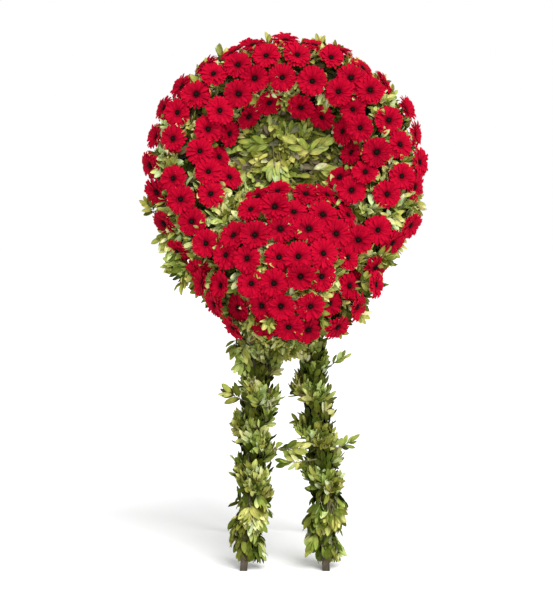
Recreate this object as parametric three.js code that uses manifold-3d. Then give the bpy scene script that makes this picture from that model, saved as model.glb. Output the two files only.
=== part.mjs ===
// A standing memorial wreath: a round head of gerberas and bay leaves, with a leaf nest and a raised
// belly of flowers, on a timber easel whose front legs are wrapped in bunches of bay leaves.
// Millimetres, +Z up, the viewer looks along +Y. The origin is on the floor, in the middle of the
// wreath's box.
import * as THREE from 'three';
import { mergeVertices } from 'three/addons/utils/BufferGeometryUtils.js';
import Module from 'manifold-3d';

const wasm = await Module();
wasm.setup();

// ---- Driving dimensions ----
const GAP = 0.4; // clearance between pieces that touch
const LEAN = THREE.MathUtils.degToRad(9); // the front frame leans back by this
const FRONT_FEET_Y = -186; // the front legs' feet stand here

// Timber of the easel
const LEG = { width: 24, depth: 40, footX: 137, topX: 52, height: 1560 };
const PROP = { width: 24, depth: 40, footX: 146, topX: 50, footY: 520, topHeight: 1500 };
const PANEL = 12; // thickness of the back board and of the lower rail
const TOP_RAIL = { length: 230, height: 100, thickness: 18 };
const LOWER_RAIL = { length: 250, height: 50, z: 850 };
const STAY = { x: 69, width: 18, height: 30, z: 842, length: 420 };
const BOARD = { radius: 362, z: 1346 };
const FACE = LEG.depth / 2 + PANEL + 2 * GAP; // from the legs' middle to the back of the leaf bed

// The ring: it swells up between the edge of the nest and the outer rim
const NEST = { x: 0, z: 1385, halfWidth: 190, halfHeight: 140 };
const RIM = { x: 0, z: 1318, halfWidth: 450, halfHeight: 450 };
const RING = { base: 54, rise: 130 };
const FLOWER_PROUD = 34; // from the leaf bed up to the flowers
const STRAW_RADIUS = 52;
const BUNDLE_ARCH = { from: -24, to: 204 }; // degrees that a leaf bundle reaches over the ring
// The nest's mat goes under the ring's edge, and swells: shares of its size, and depths
const NEST_MAT = { reach: 24, swell: [[1, 34], [0.7, 52], [0.35, 58]], crest: 60 };

// The belly: an egg with its broad end up, standing out in front of the ring's lower part
const BELLY = { x: 0, z: 1000, halfWidth: 245, halfHeight: 262, taper: 0.25, base: 110, rise: 165 };
const BELLY_CORE_DEPTH = 78; // from the flowers down to the straw core
const BELLY_EDGE = 0.08; // the least share of the rise, squared, that a flower at the edge has

// A gerbera faces up its own axis. Its petals rise to the cup, and fall a little towards the eye.
const GERBERA = { petals: 8, radius: 48, notch: 0.85, cup: 8, calyx: 18, stem: 3.6, length: 68 };
const EYE = { radius: 9, foot: 2, top: 7 };
const WIRE = { width: 3, below: 13 }; // it binds the flowers of a group, calyx to calyx
// How far a flower strays from its row: sideways, in or out, in tilt, in size, and towards the viewer
const STRAY = { side: 13, depth: 7, tilt: 0.13, size: 0.06, forward: 0.2, arch: 7, angle: 1.8 };

const RING_ROWS = [
  { name: 'inner', arch: 152, from: -30, to: 210, perPiece: 2 },
  { name: 'crest', arch: 108, from: -34, to: 214, perPiece: 3 },
  { name: 'outer', arch: 64, from: -50, to: 230, perPiece: 4 },
  { name: 'rim', arch: 20, from: -59, to: 240, perPiece: 5 },
];
const RING_PIECES = 5; // leaf bundles round the ring, and flower groups in each row

const BELLY_ROWS = [
  { z: 1228, x: 22, count: 4 },
  { z: 1162, x: 38, count: 5 },
  { z: 1092, x: -6, count: 5 },
  { z: 1016, x: 10, count: 6 },
  { z: 940, x: 4, count: 8 },
  { z: 866, x: -2, count: 7 },
  { z: 796, x: 0, count: 5 },
];
const BELLY_SPACING = 80;

// Bunches of bay sprigs on each leg, from the floor up: the lowest hangs, the others point up.
// A swell gives shares of a bunch's length, from its tie to its tips, and shares of its radius.
const HANGING = [[0, 0.45], [0.2, 0.78], [0.42, 1], [0.66, 0.9], [0.88, 0.62], [1, 0.44]];
const FROM_WAIST = [[0, 0.5], [0.2, 0.74], [0.5, 0.95], [0.78, 1], [1, 0.86]];
const UPRIGHT = [[0, 0.72], [0.25, 0.86], [0.5, 0.95], [0.78, 1], [1, 0.84]];
const BUNCHES = [
  { tied: 236, tips: 34, swell: HANGING },
  { tied: 238, tips: 392, swell: FROM_WAIST },
  { tied: 394, tips: 536, swell: UPRIGHT },
  { tied: 538, tips: 680, swell: UPRIGHT },
  { tied: 682, tips: 812, swell: UPRIGHT },
];
const BUNCH_RADIUS = 84;
const LOBES = [{ depth: 0.1, count: 5 }, { depth: 0.06, count: 3 }]; // that make a bunch uneven

// Bay leaves of the loose sprigs
const LEAF = { aspect: 0.42, thickness: 2.2 };

// ---- Materials ----
const finish = (color, roughness) => new THREE.MeshStandardMaterial({ color, roughness, metalness: 0 });
const timber = finish(0x8b7355, 0.85);
const board = finish(0xa88a5f, 0.8);
const straw = finish(0xc6a55a, 0.95);
const bayLeaf = finish(0x74863c, 0.6);
const paleLeaf = finish(0x9ba850, 0.6);
const petal = finish(0xc4062c, 0.55);

// ---- Small helpers ----
const scatter = (seed) => {
  const value = Math.sin(seed * 12.9898) * 43758.5453;
  return 2 * (value - Math.floor(value)) - 1; // -1 to 1, the same each time for one seed
};
const lerp = THREE.MathUtils.lerp;
const radians = THREE.MathUtils.degToRad;
const range = (count) => Array.from({ length: count }, (_, i) => i);

// A closed geometry from triangles of points; its faces are turned outwards
function closedGeometry(triangles) {
  const volume = triangles.reduce((sum, [a, b, c]) => sum + a.dot(b.clone().cross(c)), 0);
  const outward = volume < 0 ? triangles.map(([a, b, c]) => [a, c, b]) : triangles;
  return new THREE.BufferGeometry().setFromPoints(outward.flat());
}

const quad = (a, b, c, d) => [[a, b, c], [a, c, d]];

// Rings of points joined one to the next, with a fan on each end
function stack(rings, firstTip, lastTip) {
  const triangles = [];
  const sides = rings[0].length;
  for (const i of range(sides)) {
    const j = (i + 1) % sides;
    for (const k of range(rings.length - 1)) {
      triangles.push(...quad(rings[k][i], rings[k][j], rings[k + 1][j], rings[k + 1][i]));
    }
    triangles.push([firstTip, rings[0][j], rings[0][i]]);
    triangles.push([lastTip, rings.at(-1)[i], rings.at(-1)[j]]);
  }
  return closedGeometry(triangles);
}

// Rings of points joined round into a closed hoop
function hoop(rings) {
  const triangles = [];
  const sides = rings[0].length;
  for (const k of range(rings.length)) {
    const next = rings[(k + 1) % rings.length];
    for (const i of range(sides)) {
      const j = (i + 1) % sides;
      triangles.push(...quad(rings[k][i], rings[k][j], next[j], next[i]));
    }
  }
  return closedGeometry(triangles);
}

// A thick sheet between two grids of points of the same size
function thickSheet(outer, inner) {
  const triangles = [];
  const last = outer.length - 1;
  const end = outer[0].length - 1;
  for (const k of range(last)) {
    for (const i of range(end)) {
      triangles.push(...quad(outer[k][i], outer[k + 1][i], outer[k + 1][i + 1], outer[k][i + 1]));
      triangles.push(...quad(inner[k][i], inner[k][i + 1], inner[k + 1][i + 1], inner[k + 1][i]));
    }
    triangles.push(...quad(outer[k][0], inner[k][0], inner[k + 1][0], outer[k + 1][0]));
    triangles.push(...quad(outer[k][end], outer[k + 1][end], inner[k + 1][end], inner[k][end]));
  }
  for (const i of range(end)) {
    triangles.push(...quad(outer[0][i], outer[0][i + 1], inner[0][i + 1], inner[0][i]));
    triangles.push(...quad(outer[last][i], inner[last][i], inner[last][i + 1], outer[last][i + 1]));
  }
  return closedGeometry(triangles);
}

// ---- Joining and cutting ----
function toSolid(geometry) {
  const bare = new THREE.BufferGeometry();
  bare.setAttribute('position', geometry.getAttribute('position').clone());
  if (geometry.index) bare.setIndex(geometry.index.clone());
  const merged = mergeVertices(bare, 1e-3);
  return new wasm.Manifold(new wasm.Mesh({
    numProp: 3,
    vertProperties: new Float32Array(merged.getAttribute('position').array),
    triVerts: new Uint32Array(merged.index.array),
  }));
}

function toGeometry(solid) {
  const mesh = solid.getMesh();
  const geometry = new THREE.BufferGeometry();
  geometry.setAttribute('position', new THREE.BufferAttribute(mesh.vertProperties.slice(), 3));
  geometry.setIndex(new THREE.BufferAttribute(mesh.triVerts.slice(), 1));
  geometry.computeVertexNormals();
  return geometry;
}

const join = (solids) => solids.reduce((all, one) => all.add(one));
const cut = (solid, tools) => tools.reduce((left, tool) => left.subtract(tool), solid);

// The largest of the bodies that a cut leaves, without offcuts
function largestBody(solid) {
  return solid.decompose().sort((a, b) => b.volume() - a.volume())[0];
}

// ---- The wreath's two frames: upright for the rear props, leaning for the rest ----
const wreath = new THREE.Group();
wreath.position.y = FRONT_FEET_Y;
const leaning = new THREE.Group();
leaning.rotation.x = -LEAN;
wreath.add(leaning);

function addPiece(group, name, solid, material) {
  const mesh = new THREE.Mesh(toGeometry(solid), material);
  mesh.name = name;
  group.add(mesh);
}

const inWorld = (geometry) => geometry.clone().rotateX(-LEAN);
const inLeaning = (geometry) => geometry.clone().rotateX(LEAN);
const boxAt = (x, y, z, centre) => new THREE.BoxGeometry(x, y, z).translate(...centre);

// Everything below the floor
const floorBlock = boxAt(1000, 2000, 200, [0, 0, -100]);

// Everything in front of a plane that leans with the frame
const frontBlock = (y) => inWorld(boxAt(1000, 600, 4000, [0, y - 300, 1000]));

// ---- The easel ----
function makeLeg(side, grow = 0) {
  const run = LEG.topX - LEG.footX;
  const slope = Math.atan2(side * run, LEG.height);
  const length = Math.hypot(run, LEG.height);
  const overshoot = 60; // past the floor, where it is sawn off level
  const geometry = new THREE.BoxGeometry(LEG.width + 2 * grow, LEG.depth + 2 * grow, length + overshoot);
  geometry.translate(0, 0, (length - overshoot) / 2);
  geometry.rotateY(slope);
  geometry.translate(side * LEG.footX, 0, 0);
  return toSolid(geometry);
}

const legX = (side, z) => side * lerp(LEG.footX, LEG.topX, z / LEG.height);

for (const [name, side] of [['left_leg', -1], ['right_leg', 1]]) {
  addPiece(leaning, name, cut(makeLeg(side), [toSolid(inLeaning(floorBlock))]), timber);
}

const railBack = LEG.depth / 2 + GAP + TOP_RAIL.thickness;
addPiece(leaning, 'top_rail', toSolid(boxAt(
  TOP_RAIL.length, TOP_RAIL.thickness, TOP_RAIL.height,
  [0, railBack - TOP_RAIL.thickness / 2, PROP.topHeight],
)), timber);

const panelY = -(LEG.depth / 2 + GAP + PANEL / 2);
addPiece(leaning, 'lower_rail', toSolid(boxAt(
  LOWER_RAIL.length, PANEL, LOWER_RAIL.height, [0, panelY, LOWER_RAIL.z],
)), timber);

addPiece(leaning, 'back_board', toSolid(
  new THREE.CylinderGeometry(BOARD.radius, BOARD.radius, PANEL, 40).translate(0, panelY, BOARD.z),
), board);

// A rear prop stands behind each leg, from the back of the top rail down to the floor
const propTop = new THREE.Vector3(0, railBack, PROP.topHeight).applyEuler(leaning.rotation);

function makeProp(side, grow = 0) {
  const run = new THREE.Vector3(side * (PROP.topX - PROP.footX), propTop.y - PROP.footY, propTop.z);
  const overshoot = 160; // past both ends, where it is sawn to the rail and to the floor
  const geometry = new THREE.BoxGeometry(
    PROP.width + 2 * grow, PROP.depth + 2 * grow, run.length() + 2 * overshoot,
  );
  geometry.rotateY(Math.atan2(run.x, Math.hypot(run.y, run.z)));
  geometry.rotateX(-Math.atan2(run.y, run.z));
  geometry.translate(side * (PROP.footX + PROP.topX) / 2, (PROP.footY + propTop.y) / 2, propTop.z / 2);
  return toSolid(geometry);
}

// A stay ties each leg to its prop: it lies against their inner sides and butts on the lower rail
function makeStay(side) {
  const centre = [side * STAY.x, STAY.length / 2, STAY.z];
  const lath = toSolid(boxAt(STAY.width, STAY.length, STAY.height, centre));
  const leg = makeLeg(side, GAP).rotate([-THREE.MathUtils.radToDeg(LEAN), 0, 0]);
  return largestBody(cut(lath, [toSolid(frontBlock(-LEG.depth / 2)), leg, makeProp(side, GAP)]));
}

for (const [name, side] of [['left', -1], ['right', 1]]) {
  const ends = [toSolid(floorBlock), toSolid(frontBlock(railBack + GAP))];
  addPiece(wreath, `${name}_rear_prop`, cut(makeProp(side), ends), timber);
  addPiece(wreath, `${name}_prop_stay`, makeStay(side), timber);
}

// ---- Surfaces of the head, in the leaning frame ----
const forward = new THREE.Vector3(0, -1, 0);
const headPoint = (x, z, depth) => new THREE.Vector3(x, -(FACE + depth), z);

// The middle line of the ring at an angle, the way outwards from the nest, and its half width
function ringAt(angle) {
  const cos = Math.cos(angle);
  const sin = Math.sin(angle);
  const inner = new THREE.Vector3(NEST.x + NEST.halfWidth * cos, 0, NEST.z + NEST.halfHeight * sin);
  const outer = new THREE.Vector3(RIM.x + RIM.halfWidth * cos, 0, RIM.z + RIM.halfHeight * sin);
  const across = outer.clone().sub(inner);
  return {
    middle: inner.clone().add(outer).multiplyScalar(0.5),
    outward: across.clone().normalize(),
    half: across.length() / 2,
  };
}

// A point of an arch over the ring: arch angle 0 is at the rim, 90 degrees on the crest
function archPoint(angle, arch, half, rise) {
  const { middle, outward } = ringAt(angle);
  const flat = middle.clone().addScaledVector(outward, half * Math.cos(arch));
  return headPoint(flat.x, flat.z, RING.base + rise * Math.sin(arch));
}

// How far the belly's flowers stand out at a place, and the way that they face there
function bellyAt(x, z) {
  const v = (z - BELLY.z) / BELLY.halfHeight;
  const width = BELLY.halfWidth * (1 + BELLY.taper * v);
  const u = (x - BELLY.x) / width;
  const height = Math.sqrt(Math.max(BELLY_EDGE, 1 - u * u - v * v));
  const normal = new THREE.Vector3(u / width, -height / BELLY.rise, v / BELLY.halfHeight).normalize();
  return { point: headPoint(x, z, BELLY.base + BELLY.rise * height), normal };
}

// The belly as a solid, its surface this far below the flowers
function bellyDome(below) {
  const sides = 20;
  const steps = 5;
  const ringOf = (share, depth) => range(sides).map((i) => {
    const turn = (2 * Math.PI * i) / sides;
    const v = share * Math.sin(turn);
    const width = (BELLY.halfWidth - below) * (1 + BELLY.taper * v);
    const z = BELLY.z + (BELLY.halfHeight - below) * v;
    return headPoint(BELLY.x + width * share * Math.cos(turn), z, depth);
  });
  const rings = [ringOf(1, GAP)];
  for (const k of range(steps)) {
    const tilt = (Math.PI / 2) * (k / steps);
    rings.push(ringOf(Math.cos(tilt), BELLY.base + (BELLY.rise - below) * Math.sin(tilt)));
  }
  const back = headPoint(BELLY.x, BELLY.z, GAP);
  const crest = headPoint(BELLY.x, BELLY.z, BELLY.base + BELLY.rise - below);
  return toSolid(stack(rings, back, crest));
}

// ---- Straw ----
function strawRing(radius) {
  const steps = 28;
  const sides = 8;
  return toSolid(hoop(range(steps).map((k) => {
    const angle = (2 * Math.PI * k) / steps;
    return range(sides).map((i) => archPoint(angle, (2 * Math.PI * (i + 0.5)) / sides, radius, radius));
  })));
}
const strawRoom = strawRing(STRAW_RADIUS + 2 * GAP);
const coreRoom = bellyDome(BELLY_CORE_DEPTH - 1);
addPiece(leaning, 'straw_ring', strawRing(STRAW_RADIUS), straw);
addPiece(leaning, 'belly_core', largestBody(cut(bellyDome(BELLY_CORE_DEPTH), [strawRoom])), straw);

// ---- Gerberas ----
// Turns a geometry that faces along +Y so that it faces the flower's way, at the flower's place
function placeFlower(geometry, { normal, point, spin }) {
  geometry.rotateY(spin);
  geometry.applyQuaternion(new THREE.Quaternion().setFromUnitVectors(new THREE.Vector3(0, 1, 0), normal));
  geometry.translate(point.x, point.y, point.z);
  return toSolid(geometry);
}

// The stem is cut to a long point, and pushed through the leaf bed into the straw
function gerberaSolid(flower) {
  const { petals, radius, notch, cup, calyx, stem, length } = GERBERA;
  const ringOf = (height, radiusAt) => range(2 * petals).map((i) => {
    const turn = (Math.PI * i) / petals;
    return new THREE.Vector3(radiusAt(i) * Math.cos(turn), height, radiusAt(i) * Math.sin(turn));
  });
  const rings = [
    ringOf(-calyx, () => stem),
    ringOf(cup, (i) => radius * flower.scale * (i % 2 ? notch : 1)),
    ringOf(EYE.foot, () => EYE.radius),
  ];
  const stemTip = new THREE.Vector3(0, -length, 0);
  return placeFlower(stack(rings, stemTip, new THREE.Vector3(0, EYE.top, 0)), flower);
}

// The room that a flower needs, in few faces
function gerberaRoom(flower) {
  const { radius, cup, calyx, stem, length } = GERBERA;
  const sides = 8;
  const outer = (radius * flower.scale + GAP) / Math.cos(Math.PI / sides);
  const profile = [
    new THREE.Vector2(0, -length - 3 * GAP),
    new THREE.Vector2(stem + 2 * GAP, -calyx - GAP),
    new THREE.Vector2(outer, cup),
    new THREE.Vector2(outer, cup + GAP),
    new THREE.Vector2(0, cup + GAP),
  ];
  return placeFlower(new THREE.LatheGeometry(profile, sides), flower);
}

function bindingWire(one, other, grow = 0) {
  const calyxOf = ({ point, normal }) => point.clone().addScaledVector(normal, -WIRE.below);
  const from = calyxOf(one);
  const to = calyxOf(other);
  const along = to.clone().sub(from);
  const width = WIRE.width + 2 * grow;
  const geometry = new THREE.BoxGeometry(width, along.length(), width);
  geometry.applyQuaternion(new THREE.Quaternion().setFromUnitVectors(
    new THREE.Vector3(0, 1, 0), along.normalize(),
  ));
  const middle = from.add(to).multiplyScalar(0.5);
  geometry.translate(middle.x, middle.y, middle.z);
  return toSolid(geometry);
}

const wiresOf = (members, grow) => members.slice(1).map((flower, i) => bindingWire(members[i], flower, grow));

// A flower at a place in its row, strayed a little, and turned towards the viewer
function looseFlower(point, normal, seed) {
  const aside = new THREE.Vector3(scatter(seed + 3), 0, scatter(seed + 4)).multiplyScalar(STRAY.side);
  const tilt = new THREE.Vector3(scatter(seed + 1), 0, scatter(seed + 2)).multiplyScalar(STRAY.tilt);
  const place = point.clone().add(aside).addScaledVector(normal, STRAY.depth * scatter(seed + 8));
  return {
    point: place,
    normal: normal.clone().lerp(forward, STRAY.forward).add(tilt).normalize(),
    scale: 1 + STRAY.size * scatter(seed + 5),
    spin: Math.PI * scatter(seed + 6),
  };
}

function ringFlowers(row, rowIndex) {
  const count = RING_PIECES * row.perPiece;
  return range(count).map((i) => {
    const seed = 100 * rowIndex + 7 * i;
    const arch = radians(row.arch + STRAY.arch * scatter(seed + 50));
    const angle = radians(lerp(row.from, row.to, i / (count - 1)) + STRAY.angle * scatter(seed + 60));
    const { outward, half } = ringAt(angle);
    const point = archPoint(angle, arch, half, RING.rise);
    const normal = outward.clone().multiplyScalar(Math.cos(arch) / half);
    normal.addScaledVector(forward, Math.sin(arch) / RING.rise).normalize();
    return looseFlower(point, normal, seed);
  });
}

function bellyFlowers(row, rowIndex) {
  return range(row.count).map((i) => {
    const x = row.x + BELLY_SPACING * (i - (row.count - 1) / 2);
    const { point, normal } = bellyAt(x, row.z);
    return looseFlower(point, normal, 1000 + 100 * rowIndex + 7 * i);
  });
}

const flowerGroups = [];
RING_ROWS.forEach((row, rowIndex) => {
  const flowers = ringFlowers(row, rowIndex);
  for (const k of range(RING_PIECES)) {
    const members = flowers.slice(k * row.perPiece, (k + 1) * row.perPiece);
    flowerGroups.push({ name: `gerberas_${row.name}_${k + 1}`, members });
  }
});
BELLY_ROWS.forEach((row, rowIndex) => {
  flowerGroups.push({ name: `gerberas_belly_${rowIndex + 1}`, members: bellyFlowers(row, rowIndex) });
});

// Where two groups would touch, the later one is trimmed back to leave room
const flowerRoom = [];
for (const { name, members } of flowerGroups) {
  const group = join([...members.map(gerberaSolid), ...wiresOf(members, 0)]);
  addPiece(leaning, name, largestBody(cut(group, [strawRoom, coreRoom, ...flowerRoom])), petal);
  flowerRoom.push(join([...members.map(gerberaRoom), ...wiresOf(members, GAP)]));
}

// ---- Leaf beds of the head ----
const bellyBed = bellyDome(FLOWER_PROUD);
const coreOpening = toSolid(boxAt(60, 20, 60, [BELLY.x, -FACE, BELLY.z]));
addPiece(leaning, 'belly_leaf_bed', largestBody(
  cut(bellyBed, [coreRoom, coreOpening, strawRoom, ...flowerRoom]),
), bayLeaf);
const bellyRoom = bellyDome(FLOWER_PROUD - 1);

function nestMat(grow = 0) {
  const sides = 24;
  const reach = NEST_MAT.reach + grow;
  const ringOf = (share, depth) => range(sides).map((i) => {
    const turn = (2 * Math.PI * i) / sides;
    const x = NEST.x + (NEST.halfWidth + reach) * share * Math.cos(turn);
    return headPoint(x, NEST.z + (NEST.halfHeight + reach) * share * Math.sin(turn), depth);
  });
  const swell = NEST_MAT.swell.map(([share, depth]) => ringOf(share, depth + grow));
  const rings = [ringOf(1, GAP - grow), ...swell];
  const back = headPoint(NEST.x, NEST.z, GAP - grow);
  return toSolid(stack(rings, back, headPoint(NEST.x, NEST.z, NEST_MAT.crest + grow)));
}
addPiece(leaning, 'nest_leaf_mat', largestBody(
  cut(nestMat(), [strawRoom, bellyRoom, ...flowerRoom]),
), paleLeaf);
const nestRoom = nestMat(GAP);

function ringBundle(fromAngle, toAngle) {
  const steps = 7;
  const slices = 8;
  const grid = (pointAt) => range(steps + 1).map((k) => {
    const angle = lerp(fromAngle, toAngle, k / steps);
    return range(slices + 1).map((i) => {
      return pointAt(angle, radians(lerp(BUNDLE_ARCH.from, BUNDLE_ARCH.to, i / slices)));
    });
  });
  const outer = grid((angle, arch) => archPoint(
    angle, arch, ringAt(angle).half - FLOWER_PROUD, RING.rise - FLOWER_PROUD,
  ));
  const innerRadius = STRAW_RADIUS + 10 * GAP;
  const inner = grid((angle, arch) => archPoint(angle, arch, innerRadius, innerRadius));
  return toSolid(thickSheet(outer, inner));
}
const bundleStart = radians(-60);
const bundleSpan = radians(60);
const bundleGap = 0.003; // radians
for (const k of range(RING_PIECES)) {
  const from = bundleStart + k * bundleSpan + bundleGap;
  const bundle = ringBundle(from, from + bundleSpan - 2 * bundleGap);
  addPiece(leaning, `ring_leaf_bundle_${k + 1}`, largestBody(
    cut(bundle, [strawRoom, nestRoom, bellyRoom, ...flowerRoom]),
  ), bayLeaf);
}

// ---- Bay bunches on the legs ----
function bunchSolid(side, { tied, tips, swell }, seed) {
  const sides = 12;
  const centre = (share) => {
    const z = lerp(tied, tips, share);
    return new THREE.Vector3(legX(side, z), 0, z);
  };
  const rings = swell.map(([share, width]) => range(sides).map((i) => {
    const turn = (2 * Math.PI * i) / sides;
    const lobes = LOBES.reduce((sum, { depth, count }) => sum + depth * Math.cos(count * turn + seed), 1);
    const reach = new THREE.Vector3(Math.cos(turn), Math.sin(turn), 0);
    return centre(share).addScaledVector(reach, BUNCH_RADIUS * width * lobes);
  }));
  return toSolid(stack(rings, centre(0), centre(1)));
}

// A bay leaf: six outline points, thicker along its middle
function leafSolid(base, along, flat, length) {
  const across = along.clone().cross(flat).normalize();
  const at = (share, side, lift) => base.clone()
    .addScaledVector(along, length * share)
    .addScaledVector(across, (length * LEAF.aspect / 2) * side)
    .addScaledVector(flat, lift);
  const outline = [[0, 0], [0.3, 0.85], [0.65, 0.95], [1, 0], [0.65, -0.95], [0.3, -0.85]];
  const edge = outline.map(([share, side]) => at(share, side, 0));
  return toSolid(stack([edge], at(0.5, 0, -LEAF.thickness), at(0.5, 0, LEAF.thickness)));
}

// A sprig: a twig with leaves alternating on both sides and one at its tip
function sprigSolid(start, end, leafCount, leafLength) {
  const along = end.clone().sub(start);
  const length = along.length();
  along.normalize();
  const twig = new THREE.CylinderGeometry(2, 3, length, 6).translate(0, length / 2, 0);
  twig.applyQuaternion(new THREE.Quaternion().setFromUnitVectors(new THREE.Vector3(0, 1, 0), along));
  twig.translate(start.x, start.y, start.z);
  const side = along.clone().cross(forward).normalize();
  const leaves = range(leafCount).map((i) => {
    const hand = i % 2 ? 1 : -1;
    const base = start.clone().addScaledVector(along, length * lerp(0.35, 0.95, i / (leafCount - 1)));
    const way = along.clone().addScaledVector(side, 0.9 * hand).normalize();
    const flat = forward.clone().addScaledVector(side, 0.35 * hand);
    flat.addScaledVector(way, -flat.dot(way)).normalize();
    return leafSolid(base, way, flat, leafLength);
  });
  const tip = leafSolid(end.clone().addScaledVector(along, -2 * LEAF.thickness), along, forward, leafLength);
  return join([toSolid(twig), tip, ...leaves]);
}

const onLeg = (side, z, x, y) => new THREE.Vector3(legX(side, z) + x, y, z);
const SPRIGS = [
  {
    name: 'crossing_sprig', leaves: 6, leaf: 58,
    start: onLeg(-1, 372, 60, -50), end: onLeg(1, 396, -92, -62),
  },
  {
    name: 'left_sprig', leaves: 4, leaf: 46,
    start: onLeg(-1, 560, -40, -46), end: onLeg(-1, 596, -112, -58),
  },
  {
    name: 'right_sprig', leaves: 4, leaf: 46,
    start: onLeg(1, 392, 40, -40), end: onLeg(1, 424, 106, -50),
  },
  {
    name: 'right_upper_sprig', leaves: 4, leaf: 36,
    start: onLeg(1, 668, 40, -34), end: onLeg(1, 706, 98, -44),
  },
];
const sprigRoom = [];
for (const { name, start, end, leaves, leaf } of SPRIGS) {
  const sprig = sprigSolid(start, end, leaves, leaf);
  addPiece(leaning, name, sprig, bayLeaf);
  sprigRoom.push(sprig);
}

for (const [name, side] of [['left', -1], ['right', 1]]) {
  BUNCHES.forEach((bunch, k) => {
    const whole = bunchSolid(side, bunch, 1.7 * k + side);
    addPiece(leaning, `${name}_leg_bunch_${k + 1}`, largestBody(
      cut(whole, [makeLeg(side, GAP), bellyRoom, ...flowerRoom, ...sprigRoom]),
    ), bayLeaf);
  });
}

export default wreath;
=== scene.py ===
# %% [markdown]
# # A standing memorial wreath
# Florists build this wreath on a timber easel. A straw ring carries a thick bed of bay leaves, the
# bed is set with red gerberas, a leaf nest stays bare in the middle, and a raised belly of flowers
# bulges out below it. The construction is already there as plain solids, the frame. This lesson
# dresses it: each leaf bed gets real leaves, each flower its petals, and the timber its grain.

# %% Load the frame
import math
import bpy
import numpy as np
from mathutils import Matrix, Vector


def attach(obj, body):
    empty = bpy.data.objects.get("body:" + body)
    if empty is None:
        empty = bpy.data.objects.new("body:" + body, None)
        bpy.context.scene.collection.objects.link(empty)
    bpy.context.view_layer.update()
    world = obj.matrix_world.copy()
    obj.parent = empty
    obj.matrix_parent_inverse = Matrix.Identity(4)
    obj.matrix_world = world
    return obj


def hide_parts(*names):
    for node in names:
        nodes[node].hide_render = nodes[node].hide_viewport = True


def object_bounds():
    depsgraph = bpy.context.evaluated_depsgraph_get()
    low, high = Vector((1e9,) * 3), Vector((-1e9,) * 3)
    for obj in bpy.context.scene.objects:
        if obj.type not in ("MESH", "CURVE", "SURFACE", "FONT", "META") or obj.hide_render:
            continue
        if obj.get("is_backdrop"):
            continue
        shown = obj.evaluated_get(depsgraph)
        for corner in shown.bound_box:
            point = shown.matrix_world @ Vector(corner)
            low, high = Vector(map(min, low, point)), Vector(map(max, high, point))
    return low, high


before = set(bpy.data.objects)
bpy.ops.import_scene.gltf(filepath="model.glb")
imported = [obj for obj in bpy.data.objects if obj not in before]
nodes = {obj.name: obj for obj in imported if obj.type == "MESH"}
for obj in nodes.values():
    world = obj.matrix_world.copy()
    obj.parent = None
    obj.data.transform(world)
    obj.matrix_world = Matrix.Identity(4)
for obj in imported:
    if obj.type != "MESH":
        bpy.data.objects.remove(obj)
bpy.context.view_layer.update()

scene = bpy.context.scene

# %% [markdown]
# ## The wreath's own directions
# The front of the easel leans back by nine degrees, and everything on it is easier to describe in a
# frame that leans with it: X across, Z up along the lean, and minus Y out towards the viewer. One
# matrix turns such a place into a place in the scene. The sizes below are those of the frame.

# %% Sizes in metres, and the way from the leaning frame to the scene
LEAN = math.radians(9)
FRONT_FEET_Y = -0.186
TO_SCENE = np.array(Matrix.Translation((0, FRONT_FEET_Y, 0)) @ Matrix.Rotation(-LEAN, 4, "X"))

LEG = {"foot_x": 0.137, "top_x": 0.052, "height": 1.56}
FACE = 0.0328            # from the legs' middle to the back of the leaf bed
NEST = {"z": 1.385, "half_width": 0.190, "half_height": 0.140}
RIM = {"z": 1.318, "half_width": 0.450, "half_height": 0.450}
RING = {"base": 0.054, "rise": 0.130}
BELLY = {"z": 1.0, "half_width": 0.245, "half_height": 0.262, "taper": 0.25,
         "base": 0.110, "rise": 0.165}
BOARD = {"z": 1.346, "radius": 0.362}
PROUD = 0.034            # from the leaf bed up to the flowers
FLOWER_RADIUS = 0.048
# How far a flower strays from its row: sideways, in or out, in tilt, in size, towards the viewer, and
# on the ring by how many degrees over its arch and round it
STRAY = {"side": 0.013, "depth": 0.007, "tilt": 0.13, "size": 0.06, "forward": 0.2,
         "arch": 7, "angle": 1.8}

FORWARD = np.array((0.0, -1.0, 0.0))


def unit(v):
    v = np.asarray(v, float)
    return v / np.linalg.norm(v)


def head_point(x, z, depth):
    return np.array((x, -(FACE + depth), z))


# %% [markdown]
# ## Where the flowers sit
# The flowers stand in loose rows. Four rows go round the ring, from the edge of the nest over the
# crest to the outer rim, and seven rows go across the belly. Each place is worked out from a few
# row values and a repeatable scatter, so that a flower here lands on its own solid in the frame.

# %% Surfaces of the ring and the belly
def ring_at(angle):
    cos, sin = math.cos(angle), math.sin(angle)
    inner = np.array((NEST["half_width"] * cos, 0.0, NEST["z"] + NEST["half_height"] * sin))
    outer = np.array((RIM["half_width"] * cos, 0.0, RIM["z"] + RIM["half_height"] * sin))
    across = outer - inner
    return (inner + outer) / 2, unit(across), np.linalg.norm(across) / 2


def ring_place(angle, arch, below=0.0):
    """A place on the swollen ring, this far below the flowers, and the way that it faces."""
    middle, outward, half = ring_at(angle)
    flat = middle + outward * (half - below) * math.cos(arch)
    place = head_point(flat[0], flat[2], RING["base"] + (RING["rise"] - below) * math.sin(arch))
    facing = unit(outward * math.cos(arch) / half + FORWARD * math.sin(arch) / RING["rise"])
    return place, facing


def belly_place(x, z, below=0.0):
    """The same on the belly."""
    v = (z - BELLY["z"]) / BELLY["half_height"]
    width = BELLY["half_width"] * (1 + BELLY["taper"] * v)
    u = x / width
    height = math.sqrt(max(0.08, 1 - u * u - v * v))
    facing = unit((u / width, -height / BELLY["rise"], v / BELLY["half_height"]))
    return head_point(x, z, BELLY["base"] + BELLY["rise"] * height) - facing * below, facing


# %% The rows of flowers
def scatter(seed):
    value = math.sin(seed * 12.9898) * 43758.5453
    return 2 * (value - math.floor(value)) - 1


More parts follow.
